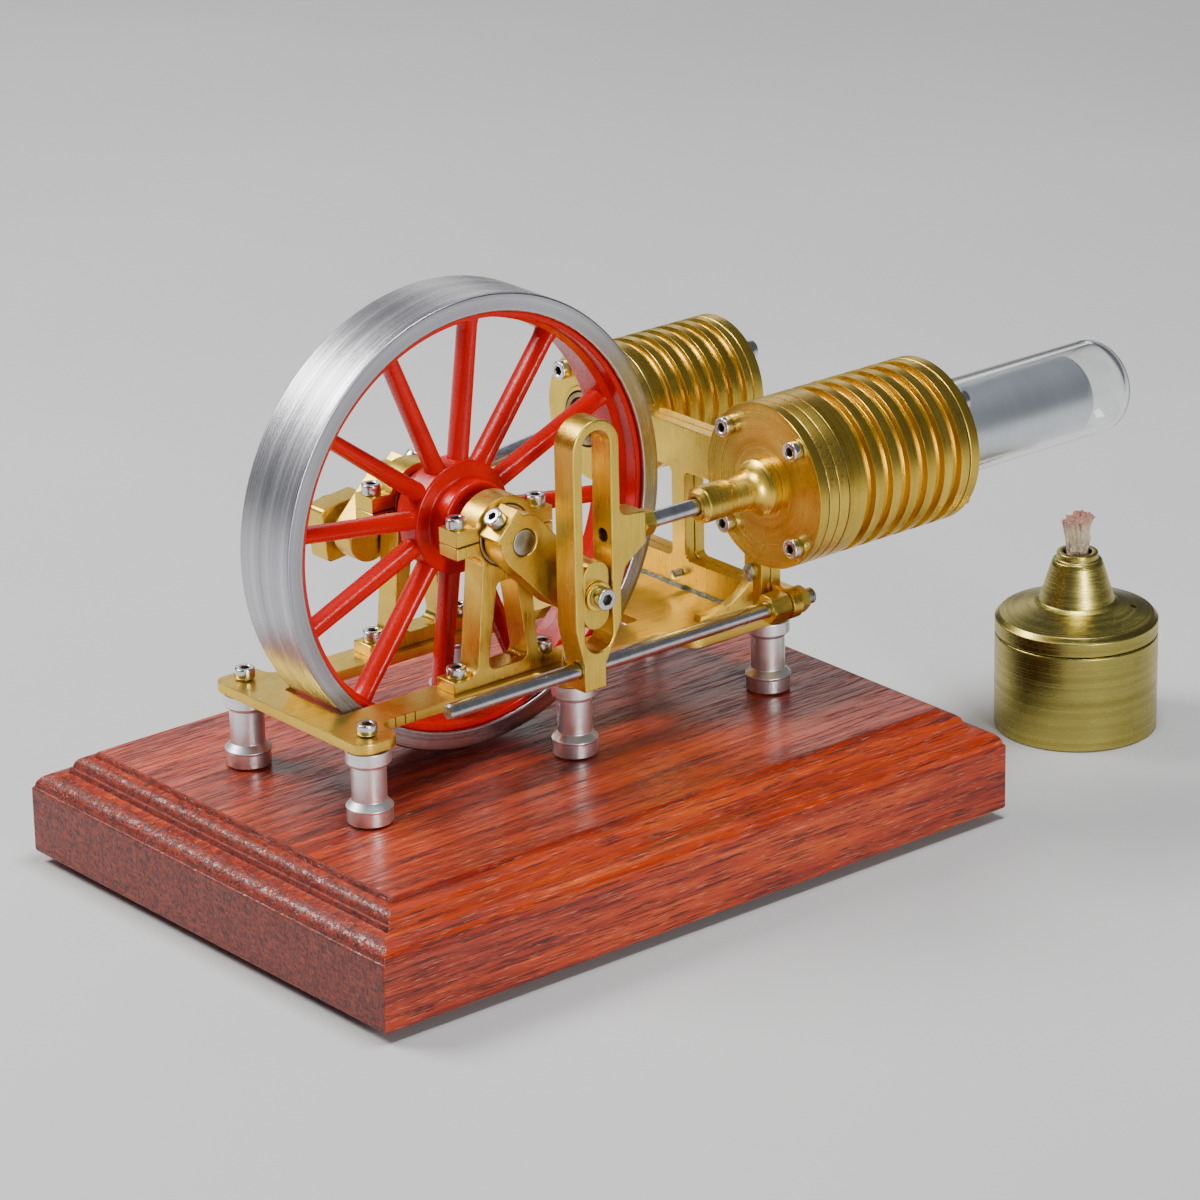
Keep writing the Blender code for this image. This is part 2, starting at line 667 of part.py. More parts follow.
def make_crank_web(name, throw, angle, low, high):
    """Crank web with its tail flat, shaft hole and radial hole for the set screw."""
    tail_half = 3.4
    hub_turn = math.degrees(math.asin(tail_half / WEB_HUB))
    outline = [(-WEB_TAIL, tail_half), (-WEB_TAIL, -tail_half)]
    outline += arc((0, 0), WEB_HUB, 180 + hub_turn, 270, 5)
    outline += arc((throw, 0), WEB_END, -90, 90, 10)
    outline += arc((0, 0), WEB_HUB, 90, 180 - hub_turn, 5)
    hole = circle((0, 0), SHAFT_RADIUS + GAP, 24)
    web = prism(outline, [hole], low, high, "Y")
    middle = (low + high) / 2
    screw_hole = lathe([(0, -9), (SHANK_RADIUS + GAP, -9), (SHANK_RADIUS + GAP, -1), (0, -1)],
                       "X", (0, middle, 0), 12)
    web = rotated(boolean(web, screw_hole, "DIFFERENCE"), angle)
    finish("crank_web_" + name, shifted(web, 0, 0, SHAFT_HEIGHT), "brass", "crank")
    screw = cap_screw(2.4, "X", (-WEB_TAIL - GAP, middle, 0), -1)
    screw = shifted(rotated(screw, angle), 0, 0, SHAFT_HEIGHT)
    finish("crank_set_screw_" + name, screw, "steel", "crank")


def make_cranks():
    """Front crank for the displacer and rear crank for the power piston."""
    make_crank_web("front", FRONT_THROW, FRONT_ANGLE, -WEB_FAR, -WEB_NEAR)
    make_crank_web("rear", REAR_THROW, REAR_ANGLE, WEB_NEAR, WEB_FAR)


def make_yoke():
    """Scotch yoke: an obround slot, a boss for the displacer rod and a guide foot."""
    half = YOKE_HALF_WIDTH
    turn_z = YOKE_END - half
    left, right, bottom = YOKE_FOOT
    outline = [(left, bottom), (right, bottom), (right, -YOKE_END + 0.9)]
    outline += arc((0, -turn_z), half, -62, 0, 5)
    boss = YOKE_BOSS_END - YOKE_X
    outline += [(half, -9.5), (half + 1.2, -6.3), (boss, -2.8), (boss, 3.3), (half, 3.9)]
    outline += arc((0, turn_z), half, 0, 180, 14)
    outline += arc((0, -turn_z), half, 180, 238, 5)
    slot_turn = YOKE_SLOT_END - SLOT_HALF
    slot = arc((0, slot_turn), SLOT_HALF, 0, 180, 10)
    slot += arc((0, -slot_turn), SLOT_HALF, 180, 360, 10)
    body = prism(outline, [slot], YOKE_FRONT, YOKE_BACK, "Y")
    shifted(body, YOKE_X, 0, SHAFT_HEIGHT)
    bore = ROD_RADIUS + GAP
    rod_hole = [(0, SLOT_HALF - 0.5), (bore, SLOT_HALF - 0.5), (bore, boss + 1), (0, boss + 1)]
    drill = lathe(rod_hole, "X", (YOKE_X, DISPLACER_Y, SHAFT_HEIGHT), 18)
    body = boolean(body, drill, "DIFFERENCE")
    guide_hole = [(0, left - 1), (bore, left - 1), (bore, right + 1), (0, right + 1)]
    drill = lathe(guide_hole, "X", (YOKE_X, GUIDE_Y, SHAFT_HEIGHT + GUIDE_Z), 18)
    finish("yoke", boolean(body, drill, "DIFFERENCE"), "brass", "yoke")


def make_slider():
    """Sliding block in the yoke's slot, with the crank pin that carries it."""
    pin_z = SHAFT_HEIGHT + FRONT_PIN[1]
    half_x, half_z = SLIDER_HALF
    flat = half_z - half_x
    outline = arc((YOKE_X, pin_z + flat), half_x, 0, 180, 8)
    outline += arc((YOKE_X, pin_z - flat), half_x, 180, 360, 8)
    hole = circle((YOKE_X, pin_z), PIN_RADIUS + RUNNING, 16)
    front = YOKE_FRONT + 0.6
    back = YOKE_BACK + 0.8
    finish("slider_block", prism(outline, [hole], front, back, "Y"), "brass", "slider")
    washer = front - GAP
    seat = washer - 0.7
    head = seat - 2.3
    profile = [(0, -PIN_INNER), (2.2, -PIN_INNER), (2.2, back + GAP), (PIN_RADIUS, back + GAP)]
    profile += [(PIN_RADIUS, washer), (2.9, washer), (2.9, seat), (2.2, seat), (2.2, head + 0.3)]
    profile += [(1.9, head), (0, head)]
    pin = lathe(profile, "Y", (YOKE_X, 0, pin_z), 14)
    socket = prism(circle((YOKE_X, pin_z), 1.15, 6), [], head - 1, head + 1.2, "Y")
    finish("crank_pin_front", boolean(pin, socket, "DIFFERENCE"), "steel", "slider")


def make_displacer_line():
    """Lock nut, displacer rod and displacer."""
    axis_point = (0, DISPLACER_Y, SHAFT_HEIGHT)
    nut_start = YOKE_BOSS_END + GAP
    hex_nut("rod_lock_nut", (nut_start, nut_start + 2.5), axis_point[1:], 4.4,
            ROD_RADIUS + GAP, "brass", "yoke")
    socket_end = DISPLACER_START + 3.0
    rod = [(0, ROD_START), (ROD_RADIUS, ROD_START), (ROD_RADIUS, socket_end), (0, socket_end)]
    finish("displacer_rod", lathe(rod, "X", axis_point, 20), "steel", "yoke")
    radius = DISPLACER_RADIUS
    hole = ROD_RADIUS + GAP
    bottom = socket_end + GAP
    body = [(0, bottom), (hole, bottom), (hole, DISPLACER_START), (radius - 0.6, DISPLACER_START)]
    body += [(radius, DISPLACER_START + 0.6), (radius, DISPLACER_END - 0.8)]
    body += [(radius - 0.8, DISPLACER_END), (0, DISPLACER_END)]
    finish("displacer", lathe(body, "X", axis_point, 20), "aluminium", "yoke")


def make_guide_rod():
    """Guide rod under the yoke, with its nuts on the support plate's ear."""
    axis_point = (0, GUIDE_Y, SHAFT_HEIGHT + GUIDE_Z)
    edge = 0.3
    radius = ROD_RADIUS
    profile = [(0, GUIDE_START), (radius - edge, GUIDE_START), (radius, GUIDE_START + edge)]
    profile += [(radius, GUIDE_END - edge), (radius - edge, GUIDE_END), (0, GUIDE_END)]
    rod = lathe(profile, "X", axis_point, 20)
    outer_nut = PLATE_REAR[1] + GAP
    nut = prism(circle(axis_point[1:], 2.5, 6), [], outer_nut, outer_nut + 2.0, "X")
    finish("guide_rod", boolean(rod, nut, "UNION"), "steel")
    inner_end = PLATE_REAR[0] - GAP
    hex_nut("guide_nut", (inner_end - 4.2, inner_end), axis_point[1:], 5.0,
            ROD_RADIUS + GAP, "brass", "engine")


def make_gland_and_cover():
    """Displacer cylinder's cover, its four screws and the rod gland on it."""
    axis_point = (0, DISPLACER_Y, SHAFT_HEIGHT)
    bore = ROD_RADIUS + RUNNING
    back = COVER_START - GAP
    gland = [(bore, GLAND_NOSE), (GLAND_RADIUS - 0.9, GLAND_NOSE)]
    gland += [(GLAND_RADIUS, GLAND_NOSE + 1.0), (GLAND_RADIUS, 45.0), (3.9, 46.6), (4.7, 48.2)]
    gland += [(GLAND_BASE, 49.0), (GLAND_BASE, back), (bore, back)]
    finish("rod_gland", lathe(gland, "X", axis_point, 18), "turned_brass")
    holes = [circle(axis_point[1:], bore, 18)]
    places = []
    for angle in (45, 135, 225, 315):
        y, z = polar(COVER_SCREW_RADIUS, angle)
        places.append((y + DISPLACER_Y, z + SHAFT_HEIGHT))
        holes.append(circle(places[-1], SHANK_RADIUS + GAP, 10))
    disc = circle(axis_point[1:], CYLINDER_RADIUS, 36)
    cover_end = PLATE_FRONT[0] - GAP
    finish("displacer_cover", prism(disc, holes, COVER_START, cover_end, "X"), "turned_brass")
    first = (COVER_START - GAP, *places[0])
    screw = finish("cover_screw_1", cap_screw(6.5, "X", first, -1), "steel")
    for index, (y, z) in enumerate(places[1:], 2):
        copy_part(screw, "cover_screw_%d" % index, (0, y - places[0][0], z - places[0][1]))


def plate_outline(with_ear):
    """Outline of a support plate in y and z: two cylinder lobes, a bar and the legs."""
    base = DECK_TOP + GAP - SHAFT_HEIGHT
    bar_top = 4.5
    front_leg = -23.4
    rear_leg = 24.0
    small = (POWER_Y, 0)
    large = (DISPLACER_Y, 0)
    small_leg = math.degrees(math.acos((rear_leg - POWER_Y) / POWER_RADIUS))
    small_bar = 180 - math.degrees(math.asin(bar_top / POWER_RADIUS))
    large_bar = math.degrees(math.asin(bar_top / CYLINDER_RADIUS))
    large_leg = math.degrees(math.acos((front_leg - DISPLACER_Y) / CYLINDER_RADIUS))
    outline = [(front_leg, base), (rear_leg, base)]
    outline += arc(small, POWER_RADIUS, -small_leg, small_bar, 16)
    outline += arc(large, CYLINDER_RADIUS, large_bar, 360 - large_leg, 20)
    if with_ear:
        ear = GUIDE_Z - base
        outline.append((front_leg, GUIDE_Z + ear))
        outline += arc((GUIDE_Y, GUIDE_Z), ear, 90, 270, 10)
    return outline


def plate_windows():
    """The plate's two windows, beside the middle rib."""
    bar_bottom = -4.2
    sill = -21.8
    front_edge = -18.6
    rear_edge = 19.4
    rib = 1.9
    first = math.degrees(math.acos((rear_edge - POWER_Y) / POWER_RADIUS))
    last = 180 - math.degrees(math.asin(bar_bottom / POWER_RADIUS))
    rear = [(rib, sill), (rear_edge, sill)]
    rear += arc((POWER_Y, 0), POWER_RADIUS, 360 - first, last, 6)
    rear.append((rib, bar_bottom))
    first = 360 + math.degrees(math.asin(bar_bottom / CYLINDER_RADIUS))
    last = 360 - math.degrees(math.acos((front_edge - DISPLACER_Y) / CYLINDER_RADIUS))
    front = [(-rib, sill), (-rib, bar_bottom)]
    front += arc((DISPLACER_Y, 0), CYLINDER_RADIUS, first, last, 7)
    front.append((front_edge, sill))
    return [rear, front]


def plate_holes():
    """Bores and screw holes that both support plates share."""
    holes = [circle((DISPLACER_Y, 0), TUBE_RADIUS - TUBE_WALL, 20)]
    holes.append(circle((POWER_Y, 0), LINER_RADIUS + GAP, 18))
    for angle in (45, 135, 225, 315):
        y, z = polar(COVER_SCREW_RADIUS, angle)
        holes.append(circle((y + DISPLACER_Y, z), SHANK_RADIUS + GAP, 8))
    return holes


def make_gusset():
    """Curved brace between the deck and the front support plate."""
    base = DECK_TOP + GAP
    joint = PLATE_FRONT[0] + 0.4
    outline = [(GUSSET_TIP, base), (joint, base), (joint, GUSSET_TOP)]
    outline += arc((GUSSET_TIP, 50.5), GUSSET_SWEEP, -18, -88, 7)
    brace = prism(outline, [], GUSSET_FRONT, GUSSET_FRONT + GUSSET_THICKNESS, "Y")
    for vert in brace.verts:
        vert.co.y -= GUSSET_SLANT * (vert.co.x - GUSSET_TIP)
    return brace


def make_support_plates():
    """Two brass plates that carry both cylinders above the deck."""
    holes = [at_shaft(hole) for hole in plate_holes() + plate_windows()]
    front = prism(at_shaft(plate_outline(False)), holes, *PLATE_FRONT, "X")
    heads = []
    for angle in (45, 135, 225, 315):
        y, z = polar(POWER_SCREW_RADIUS, angle)
        centre = (PLATE_FRONT[0], y + POWER_Y, z + SHAFT_HEIGHT)
        heads.append(screw_head("X", centre, -1))
    front = boolean(front, joined_shapes(heads), "UNION")
    front = boolean(front, make_gusset(), "UNION")
    finish("support_plate_front", front, "brass")
    guide_hole = circle((GUIDE_Y, GUIDE_Z + SHAFT_HEIGHT), ROD_RADIUS + GAP, 18)
    rear = prism(at_shaft(plate_outline(True)), holes + [guide_hole], *PLATE_REAR, "X")
    finish("support_plate_rear", rear, "brass")


def grooved_side(radius, start, end, first, pitch, width, depth):
    """Outer side of a finned cylinder, from its start to its end."""
    points = [(radius, start)]
    for index in range(GROOVES):
        left = first + pitch * index
        points += [(radius, left), (radius - depth, left + 0.15)]
        points += [(radius - depth, left + width - 0.15), (radius, left + width)]
    points.append((radius, end))
    return points


def make_displacer_cylinder():
    """Finned cooler, tube flange and the closed hot tube."""
    axis_point = (0, DISPLACER_Y, SHAFT_HEIGHT)
    seat = TUBE_RADIUS + GAP
    bore = TUBE_RADIUS - TUBE_WALL
    cooler = grooved_side(CYLINDER_RADIUS, BODY_START, COOLER_END, GROOVE_START, GROOVE_PITCH,
                          GROOVE_WIDTH, COOLER_GROOVE_DEPTH)
    cooler += [(seat, COOLER_END), (seat, TUBE_START - GAP), (bore, TUBE_START - GAP)]
    cooler.append((bore, BODY_START))
    finish("displacer_cooler", lathe(cooler, "X", axis_point, 20), "turned_brass")
    start = COOLER_END + GAP
    ring = [(seat, start), (CYLINDER_RADIUS, start), (CYLINDER_RADIUS, FLANGE_END), (seat, FLANGE_END)]
    flange = lathe(ring, "X", axis_point, 24)
    heads = []
    for angle in (45, 135, 225, 315):
        y, z = polar(COVER_SCREW_RADIUS, angle)
        heads.append(screw_head("X", (FLANGE_END, y + DISPLACER_Y, z + SHAFT_HEIGHT)))
    finish("tube_flange", boolean(flange, joined_shapes(heads), "UNION"), "turned_brass")
    finish("hot_tube", lathe(tube_profile(), "X", axis_point, 20), "glass")


def tube_profile():
    """Glass tube: open at its start, with a flattened dome at its end."""
    shoulder = TUBE_END - TUBE_DOME
    steps = 4
    inner = TUBE_RADIUS - TUBE_WALL
    inner_dome = TUBE_DOME - TUBE_WALL
    profile = [(0, shoulder + inner_dome)]
    for step in range(1, steps + 1):
        u, v = polar(1, 90 - 90 * step / steps)
        profile.append((inner * u, shoulder + inner_dome * v))
    profile += [(inner, TUBE_START), (TUBE_RADIUS, TUBE_START)]
    for step in range(steps):
        u, v = polar(1, 90 * step / steps)
        profile.append((TUBE_RADIUS * u, shoulder + TUBE_DOME * v))
    profile.append((0, TUBE_END))
    return profile


def make_power_cylinder():
    """Finned power cylinder with its liner through the plates, and the head."""
    axis_point = (0, POWER_Y, SHAFT_HEIGHT)
    body = grooved_side(POWER_RADIUS, BODY_START, POWER_END, POWER_GROOVE_START,
                        POWER_GROOVE_PITCH, POWER_GROOVE_WIDTH, POWER_GROOVE_DEPTH)
    body += [(POWER_BORE, POWER_END), (POWER_BORE, LINER_START), (LINER_RADIUS, LINER_START)]
    body.append((LINER_RADIUS, BODY_START))
    finish("power_cylinder", lathe(body, "X", axis_point, 18), "turned_brass")
    start = POWER_END + GAP
    disc = [(0, start), (POWER_RADIUS, start), (POWER_RADIUS, HEAD_END), (0, HEAD_END)]
    head = lathe(disc, "X", axis_point, 20)
    heads = []
    for angle in (45, 135, 225, 315):
        y, z = polar(POWER_SCREW_RADIUS, angle)
        heads.append(screw_head("X", (HEAD_END, y + POWER_Y, z + SHAFT_HEIGHT)))
    finish("power_head", boolean(head, joined_shapes(heads), "UNION"), "turned_brass")


def make_piston():
    """Cup-shaped piston and its wrist pin."""
    axis_point = (WRIST_X, POWER_Y, SHAFT_HEIGHT)
    inner = PISTON_RADIUS - 1.0
    cup = [(0, PISTON_CROWN - 2.5), (inner, PISTON_CROWN - 2.5), (inner, -PISTON_SKIRT)]
    cup += [(PISTON_RADIUS, -PISTON_SKIRT), (PISTON_RADIUS, PISTON_CROWN), (0, PISTON_CROWN)]
    reach = PISTON_RADIUS + 1
    bore = SHANK_RADIUS + GAP
    drill = lathe([(0, -reach), (bore, -reach), (bore, reach), (0, reach)], "Y", axis_point, 12)
    piston = boolean(lathe(cup, "X", axis_point, 24), drill, "DIFFERENCE")
    finish("piston", piston, "bronze", "piston")
    half = 4.9
    pin = [(0, -half), (SHANK_RADIUS, -half), (SHANK_RADIUS, half), (0, half)]
    finish("wrist_pin", lathe(pin, "Y", axis_point, 12), "steel", "piston")


def make_conrod():
    """Steel connecting rod, brass big end and rear crank pin."""
    tilt = math.degrees(math.asin(-REAR_PIN[1] / CONROD_LENGTH))
    length = CONROD_LENGTH
    eye_hole = circle((0, 0), SHANK_RADIUS + RUNNING, 16)
    eye = prism(circle((0, 0), 2.4, 20), [eye_hole], -2.2, 2.2, "Y")
    start = BIG_END_HALF - 2.6 - length
    rod = [(0, start), (CONROD_RADIUS, start), (CONROD_RADIUS, -1.9), (0, -1.9)]
    rod = boolean(eye, lathe(rod, "X", (0, 0, 0), 14), "UNION")
    rod = shifted(rotated(rod, tilt), WRIST_X, POWER_Y, SHAFT_HEIGHT)
    finish("conrod", rod, "steel", "conrod")
    half = BIG_END_HALF
    pin_hole = circle((0, 0), PIN_RADIUS + RUNNING, 16)
    corners = [(-half, -half, 1.0), (half, -half, 1.0), (half, half, 0), (-half, half, 0)]
    low = BIG_END_NEAR - POWER_Y
    high = BIG_END_FAR - POWER_Y
    block = prism(fillet(corners, 2), [pin_hole], low, high, "Y")
    dome = prism(circle((0, 0), 6.1, 24), [pin_hole], high - 0.01, high + 1.6, "Y")
    block = boolean(block, dome, "UNION")
    socket = CONROD_RADIUS + GAP
    bottom = half - 2.6 - GAP
    drill = lathe([(0, bottom), (socket, bottom), (socket, half + 1), (0, half + 1)],
                  "X", (0, 0, 0), 14)
    block = boolean(block, drill, "DIFFERENCE")
    block = rotated(shifted(block, -length, 0, 0), tilt)
    finish("big_end", shifted(block, WRIST_X, POWER_Y, SHAFT_HEIGHT), "brass", "conrod")
    seat = BIG_END_FAR + 1.6 + GAP
    pin = [(0, PIN_INNER), (2.2, PIN_INNER), (2.2, BIG_END_NEAR - GAP)]
    pin += [(PIN_RADIUS, BIG_END_NEAR - GAP), (PIN_RADIUS, seat), (2.4, seat), (2.4, seat + 1.9)]
    pin += [(2.1, seat + 2.2), (0, seat + 2.2)]
    axis_point = (REAR_PIN[0], 0, SHAFT_HEIGHT + REAR_PIN[1])
    finish("crank_pin_rear", lathe(pin, "Y", axis_point, 14), "steel", "conrod")


def make_burner():
    """Spirit burner: cup, lid with its wick holder, and the wick."""
    centre = (*BURNER_CENTRE, 0)
    radius = BURNER_RADIUS
    inner = radius - BURNER_WALL
    edge = 0.4
    seam = BURNER_SEAM - GAP
    cup = [(0, 0), (radius - edge, 0), (radius, edge), (radius, seam), (inner, seam)]
    cup += [(inner, 1.5), (0, 1.5)]
    finish("burner_body", lathe(cup, "Z", centre, 24), "brass", "burner")
    lip = inner - GAP
    hole = 2.7
    lid = [(radius, BURNER_SEAM), (radius, 22.2), (radius - 0.9, 23.2), (8.2, 25.3), (7.3, 25.9)]
    lid += [(5.05, 33.2), (4.7, 34.0), (4.0, 34.3), (4.0, 35.6), (hole, 35.6), (hole, 22.0)]
    lid += [(lip - 1.2, 21.0), (lip - 1.2, 17.0), (lip, 17.0), (lip, BURNER_SEAM)]
    shape = lathe(lid, "Z", centre, 24)
    vent_point = (centre[0] + LID_VENT[0], centre[1] + LID_VENT[1], 0)
    vent = lathe([(0, 18), (0.6, 18), (0.6, 28), (0, 28)], "Z", vent_point, 8)
    finish("burner_lid", boolean(shape, vent, "DIFFERENCE"), "brass", "lid")
    wick = [(0, 3.0), (1.9, 3.0), (2.3, 4.0), (2.1, 36.4), (2.8, 38.8), (2.9, 41.4)]
    wick += [(2.2, WICK_TOP - 0.6), (0, WICK_TOP)]
    finish("wick", lathe(wick, "Z", centre, 14), "cotton", "lid")


clear_scene()
PIVOT_EMPTIES = make_pivots()
make_plinth()
make_feet()
make_deck()
make_posts()
make_bearing_stands()
make_crankshaft()
make_flywheel_tyre()
make_flywheel_centre()
make_cranks()
make_yoke()
make_slider()
make_displacer_line()
make_guide_rod()
make_gland_and_cover()
make_support_plates()
make_displacer_cylinder()
make_power_cylinder()
make_piston()
make_conrod()
make_burner()
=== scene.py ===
"""Looks of the model hot-air engine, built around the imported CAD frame.

Shapes are written in millimetres in the design frame: x = 0 and z = SHAFT on the crankshaft's
axis, y = 0 on the flywheel's middle plane. OFFSET moves them into the frame's own coordinates.
"""

import json
import math
import random

import bmesh
import bpy
from mathutils import Matrix, Vector, noise


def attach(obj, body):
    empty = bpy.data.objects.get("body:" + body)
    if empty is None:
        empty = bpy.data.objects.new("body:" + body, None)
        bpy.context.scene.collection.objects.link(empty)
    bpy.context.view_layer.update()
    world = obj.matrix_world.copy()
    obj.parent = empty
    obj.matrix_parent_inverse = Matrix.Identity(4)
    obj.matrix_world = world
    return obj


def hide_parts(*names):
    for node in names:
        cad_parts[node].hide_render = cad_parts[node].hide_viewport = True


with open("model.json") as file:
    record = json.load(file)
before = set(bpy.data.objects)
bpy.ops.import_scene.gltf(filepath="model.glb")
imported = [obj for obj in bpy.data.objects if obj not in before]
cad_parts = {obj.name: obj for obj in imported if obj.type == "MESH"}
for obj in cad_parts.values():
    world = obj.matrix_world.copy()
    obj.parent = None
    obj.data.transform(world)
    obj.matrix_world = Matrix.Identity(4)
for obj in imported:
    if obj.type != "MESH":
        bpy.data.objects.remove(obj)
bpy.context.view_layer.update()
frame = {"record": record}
random.seed(7)

MM = 0.001
SHAFT = 66.0
OFFSET = Vector((-40.525, 3.6, 0.0))
DISP_Y = -26.7
POWER_Y = 24.8
DECK_TOP = 38.5
DECK_SEAT = DECK_TOP + 0.05
COOLER_RADIUS = 15.7
POWER_RADIUS = 13.1
FRONT_CRANK = (14.0, -47.0)
REAR_CRANK = (10.0, -137.0)
NEARLY_STRAIGHT = math.radians(87)
DISP_YZ = (DISP_Y, SHAFT)
POWER_YZ = (POWER_Y, SHAFT)
GUIDE_YZ = (-26.9, SHAFT - 24.2)
BURNER = (127.0, -31.5, 0.0)


# ---- shapes

def polar(radius, degrees):
    angle = math.radians(degrees)
    return (radius * math.cos(angle), radius * math.sin(angle))


def arc(centre, radius, start, end, steps):
    points = [polar(radius, start + (end - start) * step / steps) for step in range(steps + 1)]
    return [(centre[0] + x, centre[1] + y) for x, y in points]


def circle(centre, radius, steps):
    return arc(centre, radius, 0, 360, steps)[:-1]


def slot_outline(centre, radius, half_length, steps):
    """Upright slot or block with round ends."""
    x, z = centre
    flat = half_length - radius
    return (arc((x, z + flat), radius, 0, 180, steps)
            + arc((x, z - flat), radius, 180, 360, steps))


def fillet(corners, steps=8, closed=True):
    """Outline through (x, y, radius) corners, each rounded by its radius."""
    outline = []
    count = len(corners)
    for index, (x, y, radius) in enumerate(corners):
        if radius == 0 or (not closed and index in (0, count - 1)):
            outline.append((x, y))
            continue
        corner = Vector((x, y))
        before = (Vector(corners[index - 1][:2]) - corner).normalized()
        after = (Vector(corners[(index + 1) % count][:2]) - corner).normalized()
        half = before.angle(after) / 2
        if half > NEARLY_STRAIGHT:
            outline.append((x, y))
            continue
        centre = corner + (before + after).normalized() * radius / math.sin(half)
        first = corner + before * radius / math.tan(half) - centre
        last = corner + after * radius / math.tan(half) - centre
        start = math.degrees(math.atan2(first.y, first.x))
        sweep = math.degrees(math.atan2(last.y, last.x)) - start
        sweep = (sweep + 180) % 360 - 180
        outline += arc(centre, radius, start, start + sweep, steps)
    return outline


def rounded(low, high, radius, steps):
    """Outline of a rectangle between two opposite corners, with its corners rounded."""
    left, right = low[0] + radius, high[0] - radius
    lower, upper = low[1] + radius, high[1] - radius
    outline = []
    for x, y, start in ((left, lower, 180), (right, lower, 270), (right, upper, 0), (left, upper, 90)):
        outline += arc((x, y), radius, start, start + 90, steps)
    return outline


def band(inner, outer, low, high):
    """Lathe profile of a plain bar, disc or ring."""
    return [(inner, low), (outer, low), (outer, high), (inner, high)]


def soft(profile, radius=0.2, steps=2):
    """Profile for a lathe with every corner off the axis rounded."""
    corners = []
    for index, (r, z) in enumerate(profile):
        before = math.dist(profile[index - 1], (r, z))
        after = math.dist(profile[(index + 1) % len(profile)], (r, z))
        corners.append((r, z, 0 if r < 0.001 else min(radius, before * 0.42, after * 0.42)))
    return fillet(corners, steps)


def signed_area(loop):
    return sum(x0 * y1 - x1 * y0 for (x0, y0), (x1, y1) in zip(loop, loop[1:] + loop[:1])) / 2


def inset(loop, amount):
    """Loop moved towards the material: inwards for a counter-clockwise outline."""
    moved = []
    for i, here in enumerate(loop):
        b = Vector(here)
        d0 = (b - Vector(loop[i - 1])).normalized()
        d1 = (Vector(loop[(i + 1) % len(loop)]) - b).normalized()
        mitre = Vector((-d0.y, d0.x)) + Vector((-d1.y, d1.x))
        scale = 2 / max(mitre.length_squared, 0.5)
        moved.append(tuple(b + mitre * amount * scale if mitre.length > 0.01 else b))
    return moved


def along(axis):
    rows = {
        "X": ((0, 0, 1), (1, 0, 0), (0, 1, 0)),
        "Y": ((1, 0, 0), (0, 0, 1), (0, 1, 0)),
        "Z": ((1, 0, 0), (0, 1, 0), (0, 0, 1)),
    }
    return Matrix(rows[axis]).to_4x4()


def clean_loop(loop):
    """Loop without points that nearly coincide."""
    out = [point for i, point in enumerate(loop) if not i or math.dist(point, loop[i - 1]) > 0.004]
    if math.dist(out[0], out[-1]) < 0.004:
        out.pop()
    return out


def bridge(shape, rings):
    """Side faces between rings of vertices."""
    for lower, upper in zip(rings, rings[1:]):
        for i in range(len(lower)):
            shape.faces.new((lower[i - 1], lower[i], upper[i], upper[i - 1]))


def loft(rings):
    """Closed solid through rings that have the same number of points."""
    shape = bmesh.new()
    rows = [[shape.verts.new(point) for point in ring] for ring in rings]
    bridge(shape, rows)
    shape.faces.new(rows[0])
    shape.faces.new(rows[-1])
    return shape


def prism(outer, holes, low, high, axis, edge=0.18, edge_steps=2):
    """Plate with rounded rims: an outline with holes, from low to high along an axis."""
    levels = [(0, low)]
    if edge > 0:
        turns = [math.radians(90 * step / edge_steps) for step in range(edge_steps + 1)]
        levels = [(edge * (1 - math.sin(turn)), low + edge * (1 - math.cos(turn))) for turn in turns]
    levels += [(amount, high - (z - low)) for amount, z in levels[::-1]]
    shape = bmesh.new()
    caps = [[], []]
    for index, loop in enumerate([outer, *holes]):
        loop = clean_loop(loop)
        if (signed_area(loop) > 0) != (index == 0):
            loop = loop[::-1]
        rings = []
        for amount, z in levels:
            points = inset(loop, amount) if amount > 0 else loop
            rings.append([shape.verts.new((u, v, z)) for u, v in points])
        bridge(shape, rings)
        for edges, ring in zip(caps, (rings[0], rings[-1])):
            edges += [shape.edges.get((ring[i - 1], ring[i])) for i in range(len(ring))]
    for edges in caps:
        bmesh.ops.triangle_fill(shape, edges=edges, use_beauty=True)
    bmesh.ops.transform(shape, verts=shape.verts, matrix=along(axis))
    bmesh.ops.recalc_face_normals(shape, faces=shape.faces)
    return shape


def lathe(profile, axis, centre, steps):
    """Solid of revolution of (radius, position) points, open profiles start and end at 0."""
    profile = clean_loop(profile) if profile[0][0] > 0 else profile
    rows = []
    shape = bmesh.new()
    for radius, z in profile:
        ring = circle((0, 0), radius, steps) if radius > 0 else [(0, 0)]
        rows.append([shape.verts.new((x, y, z)) for x, y in ring])
    pairs = list(zip(rows, rows[1:]))
    if profile[0][0] > 0:
        pairs.append((rows[-1], rows[0]))
    for a, b in pairs:
        for i in range(steps):
            corner = [a[(i - 1) % len(a)], a[i % len(a)], b[i % len(b)], b[(i - 1) % len(b)]]
            unique = list(dict.fromkeys(corner))
            if len(unique) > 2:
                shape.faces.new(unique)
    bmesh.ops.transform(shape, verts=shape.verts, matrix=Matrix.Translation(centre) @ along(axis))
    bmesh.ops.recalc_face_normals(shape, faces=shape.faces)
    return shape


def mesh_of(shape, name="work"):
    mesh = bpy.data.meshes.new(name)
    shape.to_mesh(mesh)
    shape.free()
    return mesh


def linked(name, data):
    made = bpy.data.objects.new(name, data)
    bpy.context.scene.collection.objects.link(made)
    return made


def join(shapes):
    whole = bmesh.new()
    for shape in shapes:
        mesh = mesh_of(shape)
        whole.from_mesh(mesh)
        bpy.data.meshes.remove(mesh)
    return whole


